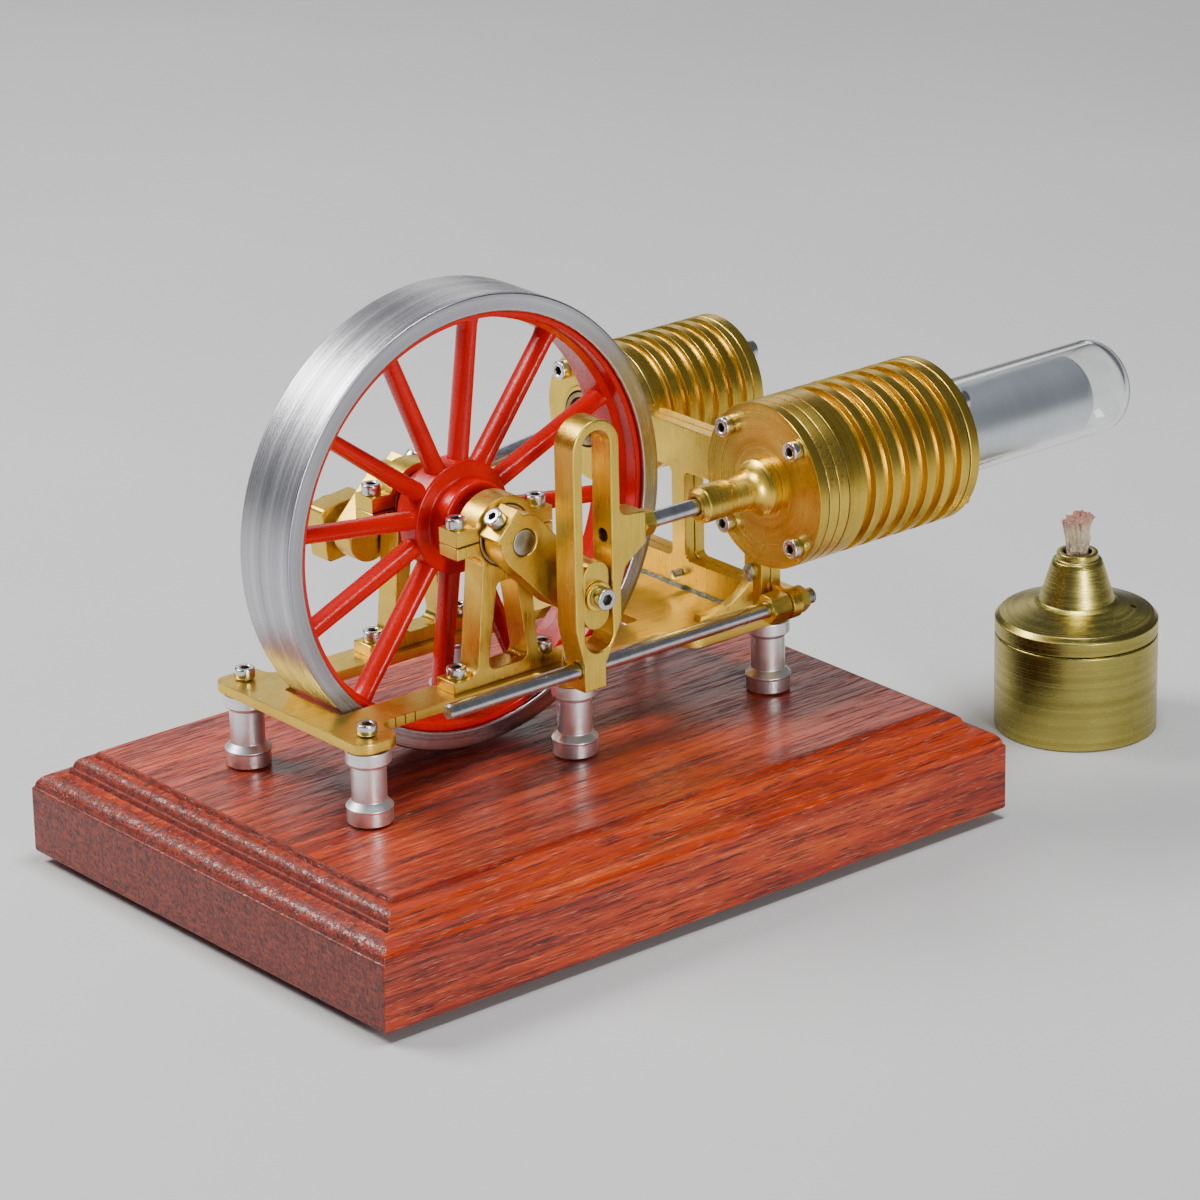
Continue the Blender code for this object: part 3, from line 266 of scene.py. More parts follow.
def boolean(base, tool, operation="DIFFERENCE"):
    holders = [linked("work", mesh_of(shape)) for shape in (base, tool)]
    modifier = holders[0].modifiers.new("boolean", "BOOLEAN")
    modifier.operation = operation
    modifier.solver = "EXACT"
    modifier.object = holders[1]
    result = bmesh.new()
    result.from_object(holders[0], bpy.context.evaluated_depsgraph_get())
    for holder in holders:
        mesh = holder.data
        bpy.data.objects.remove(holder, do_unlink=True)
        bpy.data.meshes.remove(mesh)
    bmesh.ops.remove_doubles(result, verts=result.verts, dist=0.0005)
    return result


def turned(shape, degrees):
    """Shape turned in the xz plane about the origin, from +x towards +z."""
    turn = Matrix.Rotation(-math.radians(degrees), 4, "Y")
    bmesh.ops.transform(shape, verts=shape.verts, matrix=turn)
    return shape


def shifted(shape, x, y, z):
    bmesh.ops.translate(shape, verts=shape.verts, vec=(x, y, z))
    return shape


def mark_recess(shape, point, axis, radius, low, high):
    """Second material, the painted socket shade, for the faces inside a socket, by radius and place
    along its axis.
    """
    for face in shape.faces:
        middle = face.calc_center_median() - Vector(point)
        place_along = middle["XYZ".index(axis)]
        middle["XYZ".index(axis)] = 0
        if middle.length < radius and low < place_along < high:
            face.material_index = 1


# ---- materials

MAT = {}


class Graph:
    """Small helper around one material's node tree."""

    def __init__(self, name):
        self.material = bpy.data.materials.new(name)
        self.material.use_nodes = True
        self.tree = self.material.node_tree
        self.shader = self.tree.nodes["Principled BSDF"]
        self.coords = self.tree.nodes.new("ShaderNodeTexCoord").outputs["Object"]
        MAT[name] = self.material

    def feed(self, socket, item):
        """Give a socket a number, a colour, a vector or another node's output."""
        if isinstance(item, tuple):
            socket.default_value = item if socket.type == "VECTOR" else (*item, 1.0)
        elif isinstance(item, (int, float)):
            socket.default_value = item
        elif item is not None:
            self.tree.links.new(item, socket)

    def node(self, kind, inputs=None, **settings):
        made = self.tree.nodes.new(kind)
        for key, value in settings.items():
            setattr(made, key, value)
        for key, item in (inputs or {}).items():
            self.feed(made.inputs[key], item)
        return made

    def noise(self, scale, detail, rough, distort=0.0, vector=None, turn=(0, 0, 0)):
        """Noise over the object, stretched where scale has a value for each axis."""
        vector = vector or self.coords
        if isinstance(scale, tuple):
            inputs = {"Vector": vector, "Scale": scale, "Rotation": turn}
            vector = self.node("ShaderNodeMapping", inputs).outputs["Vector"]
            scale = 1.0
        inputs = {"Vector": vector, "Scale": scale, "Detail": detail, "Roughness": rough,
                  "Distortion": distort}
        return self.node("ShaderNodeTexNoise", inputs).outputs["Fac"]

    def ramp(self, fac, stops):
        node = self.node("ShaderNodeValToRGB", {"Fac": fac})
        elements = node.color_ramp.elements
        while len(elements) < len(stops):
            elements.new(0.5)
        for element, (position, colour) in zip(elements, stops):
            element.position = position
            element.color = (*colour, 1.0)
        return node.outputs["Color"]

    def step(self, fac, low, high):
        """Black below low, white above high."""
        return self.ramp(fac, [(low, (0, 0, 0)), (high, (1, 1, 1))])

    def span(self, fac, new_low, new_high, low=0.3, high=0.7):
        """The range from low to high stretched to the new one."""
        inputs = {"Value": fac, "From Min": low, "From Max": high, "To Min": new_low,
                  "To Max": new_high}
        return self.node("ShaderNodeMapRange", inputs).outputs["Result"]

    def maths(self, operation, a, b=None):
        return self.node("ShaderNodeMath", {0: a, 1: b}, operation=operation).outputs["Value"]

    def plus(self, a, b):
        return self.maths("ADD", a, b)

    def times(self, a, b):
        return self.maths("MULTIPLY", a, b)

    def mix(self, fac, a, b):
        return self.node("ShaderNodeMix", {0: fac, 6: a, 7: b}, data_type="RGBA").outputs[2]

    def blend(self, fac, a, b, low=0.3, high=0.7):
        """From colour a to colour b while fac goes from low to high."""
        return self.mix(self.span(fac, 0, 1, low, high), a, b)

    def bump(self, height, strength, distance, normal=None):
        inputs = {"Height": height, "Strength": strength, "Distance": distance, "Normal": normal}
        return self.node("ShaderNodeBump", inputs).outputs["Normal"]

    def out(self, colour, rough, normal, **others):
        """Feed the shader's sockets; an underscore in a name stands for a space."""
        inputs = {"Base Color": colour, "Roughness": rough, "Normal": normal}
        inputs.update((key.replace("_", " "), item) for key, item in others.items())
        for key, item in inputs.items():
            self.feed(self.shader.inputs[key], item)
        return self.material


def ring_coords(g, axis):
    """Coordinates that hardly change along the turning lines of a part turned about an axis."""
    xyz = g.node("ShaderNodeSeparateXYZ", {"Vector": g.coords}).outputs
    names = {"X": ("Y", "Z", "X"), "Y": ("X", "Z", "Y"), "Z": ("X", "Y", "Z")}[axis]
    u, v, w = (xyz[n] for n in names)
    radius = g.maths("SQRT", g.plus(g.times(u, u), g.times(v, v)))
    angle = g.times(g.maths("ARCTAN2", u, v), 0.00005)
    return g.node("ShaderNodeCombineXYZ", {"X": radius, "Y": w, "Z": angle}).outputs["Vector"]


def turned_metal(name, axis, light, dark, stain, rough=(0.2, 0.36), lines=2600, anisotropy=0.7,
                 bump=0.2, stain_amount=0.3, smudge=0.08):
    """Metal with fine turning lines round an axis, faint stains and handling marks."""
    g = Graph(name)
    rings = ring_coords(g, axis)
    fine = g.noise(lines, 3.0, 0.7, vector=rings)
    broad = g.noise(lines / 9, 2.0, 0.6, vector=rings)
    patch = g.noise(90, 5.0, 0.62, 0.4)
    smear = g.noise((330, 528, 231), 4.0, 0.7)
    spots = g.step(g.noise(700, 3.0, 0.55), 0.66, 0.72)
    tone = g.blend(broad, dark, light)
    tone = g.mix(g.times(g.span(patch, 0, 1, 0.45, 0.75), stain_amount), tone, stain)
    tone = g.mix(g.times(spots, min(0.35, stain_amount)), tone, stain)
    worn = g.plus(g.span(fine, *rough, 0.25, 0.75), g.span(smear, 0, smudge, 0.4, 0.8))
    normal = g.bump(broad, bump * 0.6, 0.0003, g.bump(fine, bump, 0.00012))
    tangent = g.node("ShaderNodeTangent", direction_type="RADIAL", axis=axis).outputs["Tangent"]
    g.out(tone, worn, normal, Metallic=1.0, Anisotropic=anisotropy, Tangent=tangent)


def brushed_metal(name, grain, light, dark, stain, rough=(0.22, 0.38)):
    """Flat metal with file and brush lines along its grain, cross scratches and stains."""
    g = Graph(name)
    stretch = tuple(160.0 if axis == grain else 5000.0 for axis in "XYZ")
    line = g.noise(stretch, 4.0, 0.65)
    tilt = tuple(s * 0.42 for s in stretch)
    cross = g.step(g.noise(tilt, 3.0, 0.5, turn=(0.35, 0.5, 0.6)), 0.60, 0.68)
    patch = g.noise(70, 6.0, 0.62, 0.6)
    cloud = g.noise(260, 4.0, 0.6, 0.2)
    spots = g.step(g.noise(620, 2.0, 0.5), 0.68, 0.74)
    tone = g.blend(line, dark, light)
    tone = g.mix(g.times(g.span(patch, 0, 1, 0.46, 0.74), 0.45), tone, stain)
    tone = g.mix(g.times(spots, 0.4), tone, stain)
    worn = g.plus(g.span(line, *rough, 0.25, 0.75), g.span(cloud, 0, 0.1, 0.35, 0.75))
    worn = g.plus(worn, g.times(cross, 0.048))
    normal = g.bump(cross, 0.072, 0.0001, g.bump(line, 0.2, 0.00012))
    g.out(tone, worn, g.bump(cloud, 0.05, 0.0008, normal), Metallic=1.0)


def red_enamel():
    g = Graph("red_enamel")
    peel = g.noise(1700, 3.0, 0.55)
    pool = g.noise(60, 4.0, 0.6, 0.3)
    dust = g.step(g.noise(2100, 2.0, 0.5), 0.69, 0.74)
    tone = g.blend(pool, (0.44, 0.0, 0.0), (0.60, 0.001, 0.0))
    tone = g.mix(g.times(dust, 0.08), tone, (0.9, 0.2, 0.12))
    rough = g.plus(g.span(peel, 0.24, 0.36), g.times(dust, 0.1))
    normal = g.bump(dust, 0.1, 0.0001, g.bump(peel, 0.3, 0.00016))
    g.out(tone, rough, normal, Coat_Weight=0.18, Coat_Roughness=0.07, Coat_Normal=normal,
          Specular_IOR_Level=0.2)


def stained_wood():
    """Open-grained hardwood under red stain and varnish; the pores run along x."""
    g = Graph("stained_wood")
    wave = g.noise((9, 60, 60), 3.0, 0.6, 0.6)
    fibre = g.noise((60, 2200, 2200), 5.0, 0.7, 0.1)
    streak = g.noise((20, 520, 520), 5.0, 0.68, 0.25)
    pores = g.step(g.noise((105, 2700, 2700), 3.0, 0.55, 0.1), 0.545, 0.62)
    # painted highlight: fine pale specks mixed into the colour, standing for glints of light on the
    # varnish
    painted_glint = g.step(g.noise((260, 4300, 4300), 2.0, 0.5), 0.62, 0.70)
    tone = g.ramp(g.plus(g.times(streak, 0.62), g.times(wave, 0.38)),
                  [(0.34, (0.05, 0.002, 0.0003)), (0.45, (0.19, 0.009, 0.0005)),
                   (0.56, (0.40, 0.032, 0.001)), (0.70, (0.60, 0.095, 0.004))])
    tone = g.mix(g.times(pores, 0.75), tone, (0.02, 0.001, 0.001))
    tone = g.mix(g.times(painted_glint, 0.3), tone, (0.95, 0.38, 0.2))
    rough = g.plus(g.span(fibre, 0.3, 0.45), g.times(pores, 0.2))
    height = g.maths("SUBTRACT", g.times(fibre, 0.35), pores)
    varnish = g.bump(streak, 0.25, 0.0006, g.bump(height, 0.3, 0.0002))
    g.out(tone, rough, g.bump(height, 0.55, 0.00025), Coat_Weight=0.4, Coat_Roughness=0.1,
          Coat_Normal=varnish, Specular_IOR_Level=0.35)


def end_grain():
    """The same wood cut across its pores: darker, pitted and uneven under the varnish."""
    g = Graph("end_grain")
    rays = g.noise((500, 420, 1500), 3.0, 0.6, 0.2, turn=(0.25, 0, 0))
    pits = g.step(g.noise(1500, 3.0, 0.5, 0.2), 0.5, 0.6)
    lump = g.noise((420, 480, 700), 3.0, 0.55)
    tone = g.blend(rays, (0.08, 0.004, 0.0005), (0.30, 0.024, 0.003))
    tone = g.mix(g.times(pits, 0.6), tone, (0.02, 0.001, 0.001))
    normal = g.bump(g.maths("SUBTRACT", lump, g.times(pits, 0.4)), 0.5, 0.0004)
    g.out(tone, g.span(lump, 0.35, 0.55), normal, Coat_Weight=0.3, Coat_Roughness=0.12,
          Coat_Normal=normal, Specular_IOR_Level=0.35)


def rubber():
    g = Graph("rubber")
    grain = g.noise(1800, 4.0, 0.6)
    dust = g.noise(160, 5.0, 0.6)
    tone = g.blend(dust, (0.016, 0.015, 0.017), (0.055, 0.05, 0.05), 0.4, 0.75)
    g.out(tone, g.span(grain, 0.6, 0.85), g.bump(grain, 0.3, 0.0002))


def clear_glass():
    g = Graph("clear_glass")
    smear = g.noise((60, 160, 160), 5.0, 0.65, 0.4)
    dust = g.step(g.noise(1300, 2.0, 0.5), 0.68, 0.75)
    rough = g.plus(g.span(smear, 0.01, 0.07, 0.45, 0.8), g.times(dust, 0.12))
    ripple = g.noise((25, 40, 40), 2.0, 0.5)
    g.out((0.97, 0.985, 0.985), rough, g.bump(ripple, 0.05, 0.0006), Transmission_Weight=1.0,
          IOR=1.47)


def cotton():
    g = Graph("cotton")
    xyz = g.node("ShaderNodeSeparateXYZ", {"Vector": g.coords}).outputs
    strand = g.noise((3800, 3800, 600), 4.0, 0.7)
    blotch = g.noise(900, 4.0, 0.6)
    height = g.plus(xyz["Z"], g.times(blotch, 0.0022))
    tip = g.span(height, 0, 1, 0.0412, 0.0440)
    foot = g.times(g.span(height, 0, 1, 0.0412, 0.0372), g.span(blotch, 0, 1, 0.4, 0.6))
    tone = g.blend(strand, (0.40, 0.30, 0.17), (0.84, 0.72, 0.52))
    tone = g.mix(g.times(tip, 0.8), tone, (0.50, 0.13, 0.11))
    tone = g.mix(g.times(foot, 0.9), tone, (0.12, 0.06, 0.03))
    g.out(tone, 0.95, g.bump(strand, 0.7, 0.0004), Sheen_Weight=0.3)


def recess():
    """Painted shade inside a screw's socket: darkened steel with oily grime."""
    g = Graph("recess")
    grime = g.noise(2600, 4.0, 0.6)
    # painted shade: both tones sit far below the screw's steel; the grime noise only varies them
    tone = g.blend(grime, (0.05, 0.045, 0.04), (0.20, 0.18, 0.15))
    g.out(tone, g.span(grime, 0.35, 0.6), g.bump(grime, 0.3, 0.0001), Metallic=0.6)


def solder(name, dark, light):
    g = Graph(name)
    lump = g.noise(900, 5.0, 0.65, 0.5)
    crack = g.noise(2600, 3.0, 0.6)
    normal = g.bump(crack, 0.25, 0.0002, g.bump(lump, 0.5, 0.0005))
    g.out(g.blend(lump, dark, light, 0.35, 0.65), g.span(crack, 0.34, 0.6), normal, Metallic=0.8)


def gasket():
    g = Graph("gasket")
    fibre = g.noise(2400, 4.0, 0.6)
    g.out(g.blend(fibre, (0.012, 0.016, 0.03), (0.05, 0.06, 0.09)), 0.6, g.bump(fibre, 0.3, 0.0002))


BRASS = ((0.93, 0.66, 0.12), (0.70, 0.46, 0.06), (0.40, 0.22, 0.03))
STEEL = ((0.78, 0.78, 0.79), (0.55, 0.55, 0.57), (0.38, 0.36, 0.35))
GREENISH = ((0.52, 0.44, 0.12), (0.31, 0.25, 0.055), (0.20, 0.14, 0.04))


def make_metals():
    brushed_metal("brass_x", "X", *BRASS)
    brushed_metal("brass_y", "Y", *BRASS)
    brushed_metal("brass_z", "Z", *BRASS, rough=(0.2, 0.36))
    turned_metal("brass_turned_x", "X", *BRASS)
    turned_metal("brass_turned_y", "Y", *BRASS)
    turned_metal("burner_turned", "Z", *GREENISH, rough=(0.18, 0.32), lines=3400, bump=0.3,
                 stain_amount=0.12, smudge=0.05)
    for axis, rough, bump, stain_amount, smudge in (("X", (0.18, 0.28), 0.06, 0.06, 0.03),
                                                    ("Y", (0.16, 0.28), 0.1, 0.1, 0.04),
                                                    ("Z", (0.14, 0.24), 0.08, 0.1, 0.03)):
        turned_metal("steel_turned_" + axis.lower(), axis, *STEEL, rough=rough, bump=bump,
                     stain_amount=stain_amount, smudge=smudge)
    turned_metal("tyre", "Y", (0.58, 0.58, 0.62), (0.36, 0.36, 0.39), (0.30, 0.28, 0.27),
                 rough=(0.2, 0.3), lines=4200, anisotropy=0.8, bump=0.22, stain_amount=0.04,
                 smudge=0.02)
    turned_metal("post", "Z", (0.92, 0.92, 0.94), (0.80, 0.80, 0.82), (0.66, 0.64, 0.63),
                 rough=(0.30, 0.40), anisotropy=0.3, bump=0.1, stain_amount=0.08)
    turned_metal("displacer", "X", (0.88, 0.91, 0.96), (0.80, 0.83, 0.88), (0.66, 0.67, 0.70),
                 rough=(0.36, 0.46), anisotropy=0.4, bump=0.1, stain_amount=0.1, smudge=0.04)
    turned_metal("bronze", "Y", (0.46, 0.33, 0.19), (0.27, 0.18, 0.09), (0.12, 0.08, 0.05),
                 rough=(0.3, 0.5))
    turned_metal("shaft", "Y", (0.40, 0.36, 0.32), (0.24, 0.21, 0.18), (0.15, 0.13, 0.11),
                 rough=(0.24, 0.36))


make_metals()
red_enamel()
stained_wood()
end_grain()
rubber()
clear_glass()
cotton()
recess()
solder("solder", (0.03, 0.03, 0.02), (0.17, 0.17, 0.12))
solder("tinned", (0.20, 0.18, 0.12), (0.66, 0.62, 0.48))
gasket()

BODIES = frame["record"]["behaviour"]["bodies"]
BODY_OF = {node: body for body, nodes in BODIES.items() for node in nodes}


def piece(name, shape, material, node, origin=(0, 0, 0), replaces=True, sharp=32):
    """Finish a shape in millimetres as a piece that rides with a node and may replace it."""
    bmesh.ops.recalc_face_normals(shape, faces=shape.faces)
    bmesh.ops.translate(shape, verts=shape.verts, vec=-Vector(origin))
    bmesh.ops.scale(shape, verts=shape.verts, vec=(MM, MM, MM))
    return place(name, mesh_of(shape, name), material, node, origin, replaces, sharp)


def place(name, mesh, material, node, origin, replaces=True, sharp=32):
    """Object for a finished mesh, on its body, standing for its CAD node."""
    made = linked(name, mesh)
    made.location = (Vector(origin) + OFFSET) * MM
    if not mesh.materials:
        mesh.materials.append(MAT[material])
        if any(face.material_index for face in mesh.polygons):
            # second slot: end grain for the wood, painted socket shade for the rest
            mesh.materials.append(MAT["end_grain" if material == "stained_wood" else "recess"])
        mesh.shade_smooth()
        mesh.set_sharp_from_angle(angle=math.radians(sharp))
    made.modifiers.new("weighted", "WEIGHTED_NORMAL").keep_sharp = True
    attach(made, BODY_OF[node])
    if replaces:
        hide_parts(node)
    return made


def repeated(shape, material, copies):
    """One shape as a piece for each (name, node, origin); all of them share its mesh."""
    name, node, origin = copies[0]
    mesh = piece(name, shifted(shape, *origin), material, node, origin).data
    for name, node, origin in copies[1:]:
        place(name, mesh, material, node, origin)


def x_piece(name, node, profile, yz, x, steps, material, replaces=True, sharp=32):
    """Piece turned about the line along x at yz, with its origin at x."""
    shape = lathe(profile, "X", (0, *yz), steps)
    return piece(name, shape, material, node, (x, *yz), replaces, sharp)


# ---- screws

def screw_shape(length):
    """Socket cap screw with its seat at z = 0 and its head up."""
    head, height, socket, shank = 1.85, 2.0, 0.98, 1.0
    body = [(0, -length), (shank, -length), (shank, 0)] if length else [(0, 0)]
    body += [(head, 0), (head, height), (0, height)]
    shape = lathe(soft(body, 0.28, 3), "Z", (0, 0, 0), 40)
    deep = height - 1.35
    lip = [(0, height - 0.12), (socket, height - 0.12), (socket + 0.16, height + 0.05),
           (0, height + 0.05)]
    shape = boolean(shape, lathe(lip, "Z", (0, 0, 0), 32))
    shape = boolean(shape, prism(circle((0, 0), socket, 6), [], deep, height + 1, "Z", 0))
    mark_recess(shape, (0, 0, 0), "Z", socket, deep - 0.01, height - 0.13)
    return shape


def screw(name, node, centre, axis="Z", direction=1, length=0.0, replaces=True, spin=0.0,
          turn=0.0):
    """Cap screw piece with its own origin on its axis."""
    shape = screw_shape(length)
    flip = Matrix.Rotation(math.pi if direction < 0 else 0.0, 4, "X")
    matrix = along(axis) @ flip @ Matrix.Rotation(math.radians(spin), 4, "Z")
    bmesh.ops.transform(shape, verts=shape.verts, matrix=matrix)
    shifted(turned(shape, turn), *centre)
    piece(name, shape, "steel_turned_" + axis.lower(), node, centre, replaces)


def screw_ring(name, node, x, places, spin, spin_step, direction=1):
    """Screws along x on one node, each with its socket turned a little further."""
    for index, (y, z) in enumerate(places):
        screw("%s_%d" % (name, index), node, (x, y, z), "X", direction, replaces=False,
              spin=spin + spin_step * index)


# ---- plinth, feet, deck, posts

def ovolo(run, rise, start, steps):
    """Quarter-round of a moulding, upwards and inwards from its start."""
    points = [polar(1, 90 * step / steps) for step in range(1, steps + 1)]
    return [(start[0] + run * (1 - x), start[1] + rise * y) for x, y in points]


def make_plinth():
    """Moulded block; its short sides show the end grain."""
    centre = (11.25, -3.6)
    top = 22.0
    foot = 2.0
    profile = [(0.5, foot), (0.15, 2.15), (0, 2.5), (0, 14.45), (0.12, 14.75), (0.4, 14.9)]
    for moulding, (run, rise) in (((4.4, 2.9), (0.4, 1.1)), ((2.6, 2.1), (0.7, 1.0))):
        profile += ovolo(*moulding, profile[-1], 10)
        x, z = profile[-1]
        profile += [(x + run * 0.4, z + 0.06), (x + run * 0.7, z + rise * 0.5),
                    (x + run, z + rise - 0.15), (x + run + 0.4, z + rise)]
    rings = []
    for amount, z in profile:
        x = 73.0 - amount
        y = 53.0 - amount
        height = foot + (z - foot) * (top - foot) / (profile[-1][1] - foot)
        rings.append([(centre[0] + u, centre[1] + v, height)
                      for u, v in rounded((-x, -y), (x, y), 0.45, 3)])
    shape = loft(rings)
    bmesh.ops.recalc_face_normals(shape, faces=shape.faces)
    for face in shape.faces:
        if abs(face.normal.x) > max(0.2, abs(face.normal.y)):
            face.material_index = 1
    piece("plinth_wood", shape, "stained_wood", "plinth", sharp=28)
    pad = [(0, 0), (4.6, 0), (5.2, 0.25), (6, 0), (6, 1.7), (0, 1.7)]
    copies = []
    for row, y in (("front", -40.0), ("rear", 40.0)):
        for side, x in (("_left", -60.0), ("_right", 60.0)):
            copies.append(("pad_" + row + side, "foot_" + row + side,
                           (centre[0] + x, centre[1] + y, 0.0)))
    repeated(lathe(soft(pad, 0.3), "Z", (0, 0, 0), 40), "rubber", copies)


POST_X = (-35.4, 11.6, 58.4)
POST_Y = {"front": -19.1, "rear": 17.1}


def deck_side(edge, tab, bend, nose):
    """One long side, left to right: straight at edge, with a tab out to each post."""
    left = POST_X[0] + 4.8
    before = POST_X[1] - 4.8
    after = POST_X[1] + 4.8
    return [(-40.0, tab, nose), (left, tab, nose), (left, edge, bend), (before, edge, bend),
            (before, tab, nose), (after, tab, nose), (after, edge, bend), (36.0, edge, bend),
            (36.0, tab, nose), (63.2, tab, nose)]


def make_deck():
    corners = deck_side(-16.1, -23.3, 2.6, 3.384) + deck_side(16.1, 20.9, 2.3, 2.3)[::-1]
    holes = [rounded((-33.2, -8.4), (36.0, 8.4), 0.8, 4)]
    for y in POST_Y.values():
        holes += [circle((x, y), 1.3, 28) for x in POST_X[:2]]
    plate = prism(fillet(corners, 8), holes, 36.5, DECK_TOP, "Z", 0.22)
    notch = [(-0.22, -0.4), (0.22, -0.4), (0.0, 0.75)]
    marks = [shifted(prism(notch, [], 36.0, 39.0, "Z", 0), -26.8 + index * 2.2, -16.15, 0)
             for index in range(3)]
    piece("deck_plate", boolean(plate, join(marks)), "brass_x", "deck")


def make_posts():
    height = 13.9
    profile = [(0, 0), (4.15, 0), (4.15, 2.6), (4.35, 3.0), (3.2, 4.3), (3.2, height - 3.2),
               (4.15, height - 2.4), (4.15, height), (1.4, height), (1.4, height - 6),
               (0, height - 6)]
    posts = []
    screws = []
    for row, y in POST_Y.items():
        for column, x in zip(("left", "middle", "right"), POST_X):
            name = row + "_" + column
            posts.append(("pillar_" + name, "post_" + name, (x, y, 22.3)))
            if column != "right":
                screws.append(("pillar_screw_" + name, "deck_screw_" + name, (x, y, DECK_TOP + 0.3)))
    repeated(lathe(soft(profile, 0.22, 3), "Z", (0, 0, 0), 56), "post", posts)
    repeated(screw_shape(6.5), "steel_turned_z", screws)


# ---- bearings and flywheel

def at_shaft(points):
    return [(u, v + SHAFT) for u, v in points]


def make_stand(name, low, high):
    seat = 5.8
    half = [(seat, -0.1, 0), (11.0, -0.1, 0.3), (11.0, -2.4, 0.3), (5.1, -2.4, 2.4),
            (7.1, -25.3, 2.4), (12.5, -25.3, 0.3), (12.5, DECK_SEAT - SHAFT, 0)]
    right = at_shaft(fillet(half, 8))
    outline = right[::-1] + at_shaft(arc((0, 0), seat, -1.0, -179.0, 36))
    outline += [(-x, z) for x, z in right]
    window = fillet([(-2.1, -8.6, 1.2), (2.1, -8.6, 1.2), (4.6, -24.8, 1.5), (-4.6, -24.8, 1.5)], 6)
    piece("stand_" + name, prism(outline, [at_shaft(window)], low, high, "Y", 0.25), "brass_z",
          "pedestal_" + name)
    rise = math.degrees(math.asin(2.9 / 7.3))
    cap = [(seat, 0.1), (11.0, 0.1), (11.0, 2.9)] + arc((0, 0), 7.3, rise, 180 - rise, 48)
    cap += [(-11.0, 2.9), (-11.0, 0.1), (-seat, 0.1)] + arc((0, 0), seat, 179, 1, 36)[1:-1]
    piece("cap_" + name, prism(at_shaft(cap), [], low, high, "Y", 0.22), "brass_x",
          "bearing_cap_" + name)
    middle = (low + high) / 2
    bush = soft(band(2.55, 5.75, low, high), 0.25, 3)
    axis_point = (0, 0, SHAFT)
    piece("bush_" + name, lathe(bush, "Y", axis_point, 64), "bronze", "bearing_" + name,
          (0, middle, SHAFT))
    for index, side in enumerate((-1, 1)):
        screw("cap_screw_%s_%d" % (name, index), "bearing_cap_" + name,
              (side * 9.1, middle, SHAFT + 2.9), replaces=False, spin=17 * index + 5)
        screw("foot_screw_%s_%d" % (name, index), "pedestal_" + name,
              (side * 9.9, middle, SHAFT - 25.3), replaces=False, spin=31 * index)


def make_spoke(angle):
    """Oval spoke whose ends flare into the hub and the rim."""
    start = 7.2
    end = 38.3
    count = 22
    rings = []
    for step in range(count + 1):
        t = step / count
        radius = start + (end - start) * t
        near_hub = max(0.0, 1 - (radius - start) / 4.2)
        near_rim = max(0.0, 1 - (end - radius) / 3.0)
        width = 1.75 - 0.33 * t + 0.75 * near_hub ** 2.2 + 0.95 * near_rim ** 2.2
        depth = 2.35 + 0.35 * near_hub ** 2 + 0.7 * near_rim ** 2
        rings.append([(radius, depth * u, width * v) for u, v in circle((0, 0), 1, 20)])
    return shifted(turned(loft(rings), angle), 0, 0, SHAFT)


def make_flywheel():
    axis_point = (0, 0, SHAFT)
    tyre = soft(band(39.0, 42.5, -7.1, 7.1), 0.35, 3)
    piece("tyre_ring", lathe(tyre, "Y", axis_point, 160), "tyre", "flywheel_tyre", axis_point)
    rim = [(39.02, -6.3), (39.02, 6.3), (37.9, 6.3), (37.9, 3.3), (36.9, 2.3), (36.9, -2.3),
           (37.9, -3.3), (37.9, -6.3)]
    wheel = lathe(soft(rim, 0.35, 3), "Y", axis_point, 144)
    spokes = [make_spoke(23.0 + 30 * i) for i in range(12)]
    wheel = boolean(wheel, join(spokes), "UNION")
    hub = [(2.55, -6.9), (7.8, -6.9), (7.8, -3.1), (10.6, -2.6), (10.6, 2.6), (7.8, 3.1),
           (7.8, 6.9), (2.55, 6.9)]
    wheel = boolean(wheel, lathe(soft(hub, 0.55, 4), "Y", axis_point, 96), "UNION")
    piece("wheel_centre", wheel, "red_enamel", "flywheel_centre", axis_point, sharp=38)
    shaft = soft(band(0, 2.5, -20.4, 20.4), 0.3, 2)
    piece("shaft_bar", lathe(shaft, "Y", axis_point, 48), "shaft", "crankshaft", axis_point)


def make_crank(name, throw, angle, low, high):
    half = 3.4
    bend = math.degrees(math.asin(half / 5.2))
    outline = [(-5.6, half), (-5.6, -half)] + arc((0, 0), 5.2, 180 + bend, 270, 12)
    outline += arc((throw, 0), 4.7, -90, 90, 32) + arc((0, 0), 5.2, 90, 180 - bend, 12)
    web = prism(outline, [circle((0, 0), 2.55, 48)], low, high, "Y", 0.28, 3)
    middle = (low + high) / 2
    drill = lathe(band(0, 1.3, -9, -1), "X", (0, middle, 0), 28)
    web = turned(boolean(web, drill), angle)
    piece("web_" + name, shifted(web, 0, 0, SHAFT), "brass_y", "crank_web_" + name,
          (0, middle, SHAFT))
    x, z = polar(-5.85, angle)
    screw("web_screw_" + name, "crank_set_screw_" + name, (x, middle, SHAFT + z), "X", -1,
          length=2.4, turn=angle)


# ---- displacer line

FRONT_PIN = polar(*FRONT_CRANK)
REAR_PIN = polar(*REAR_CRANK)
ROD_LENGTH = 62.0
WRIST_X = REAR_PIN[0] + math.sqrt(ROD_LENGTH ** 2 - REAR_PIN[1] ** 2)
YOKE_X = FRONT_PIN[0]


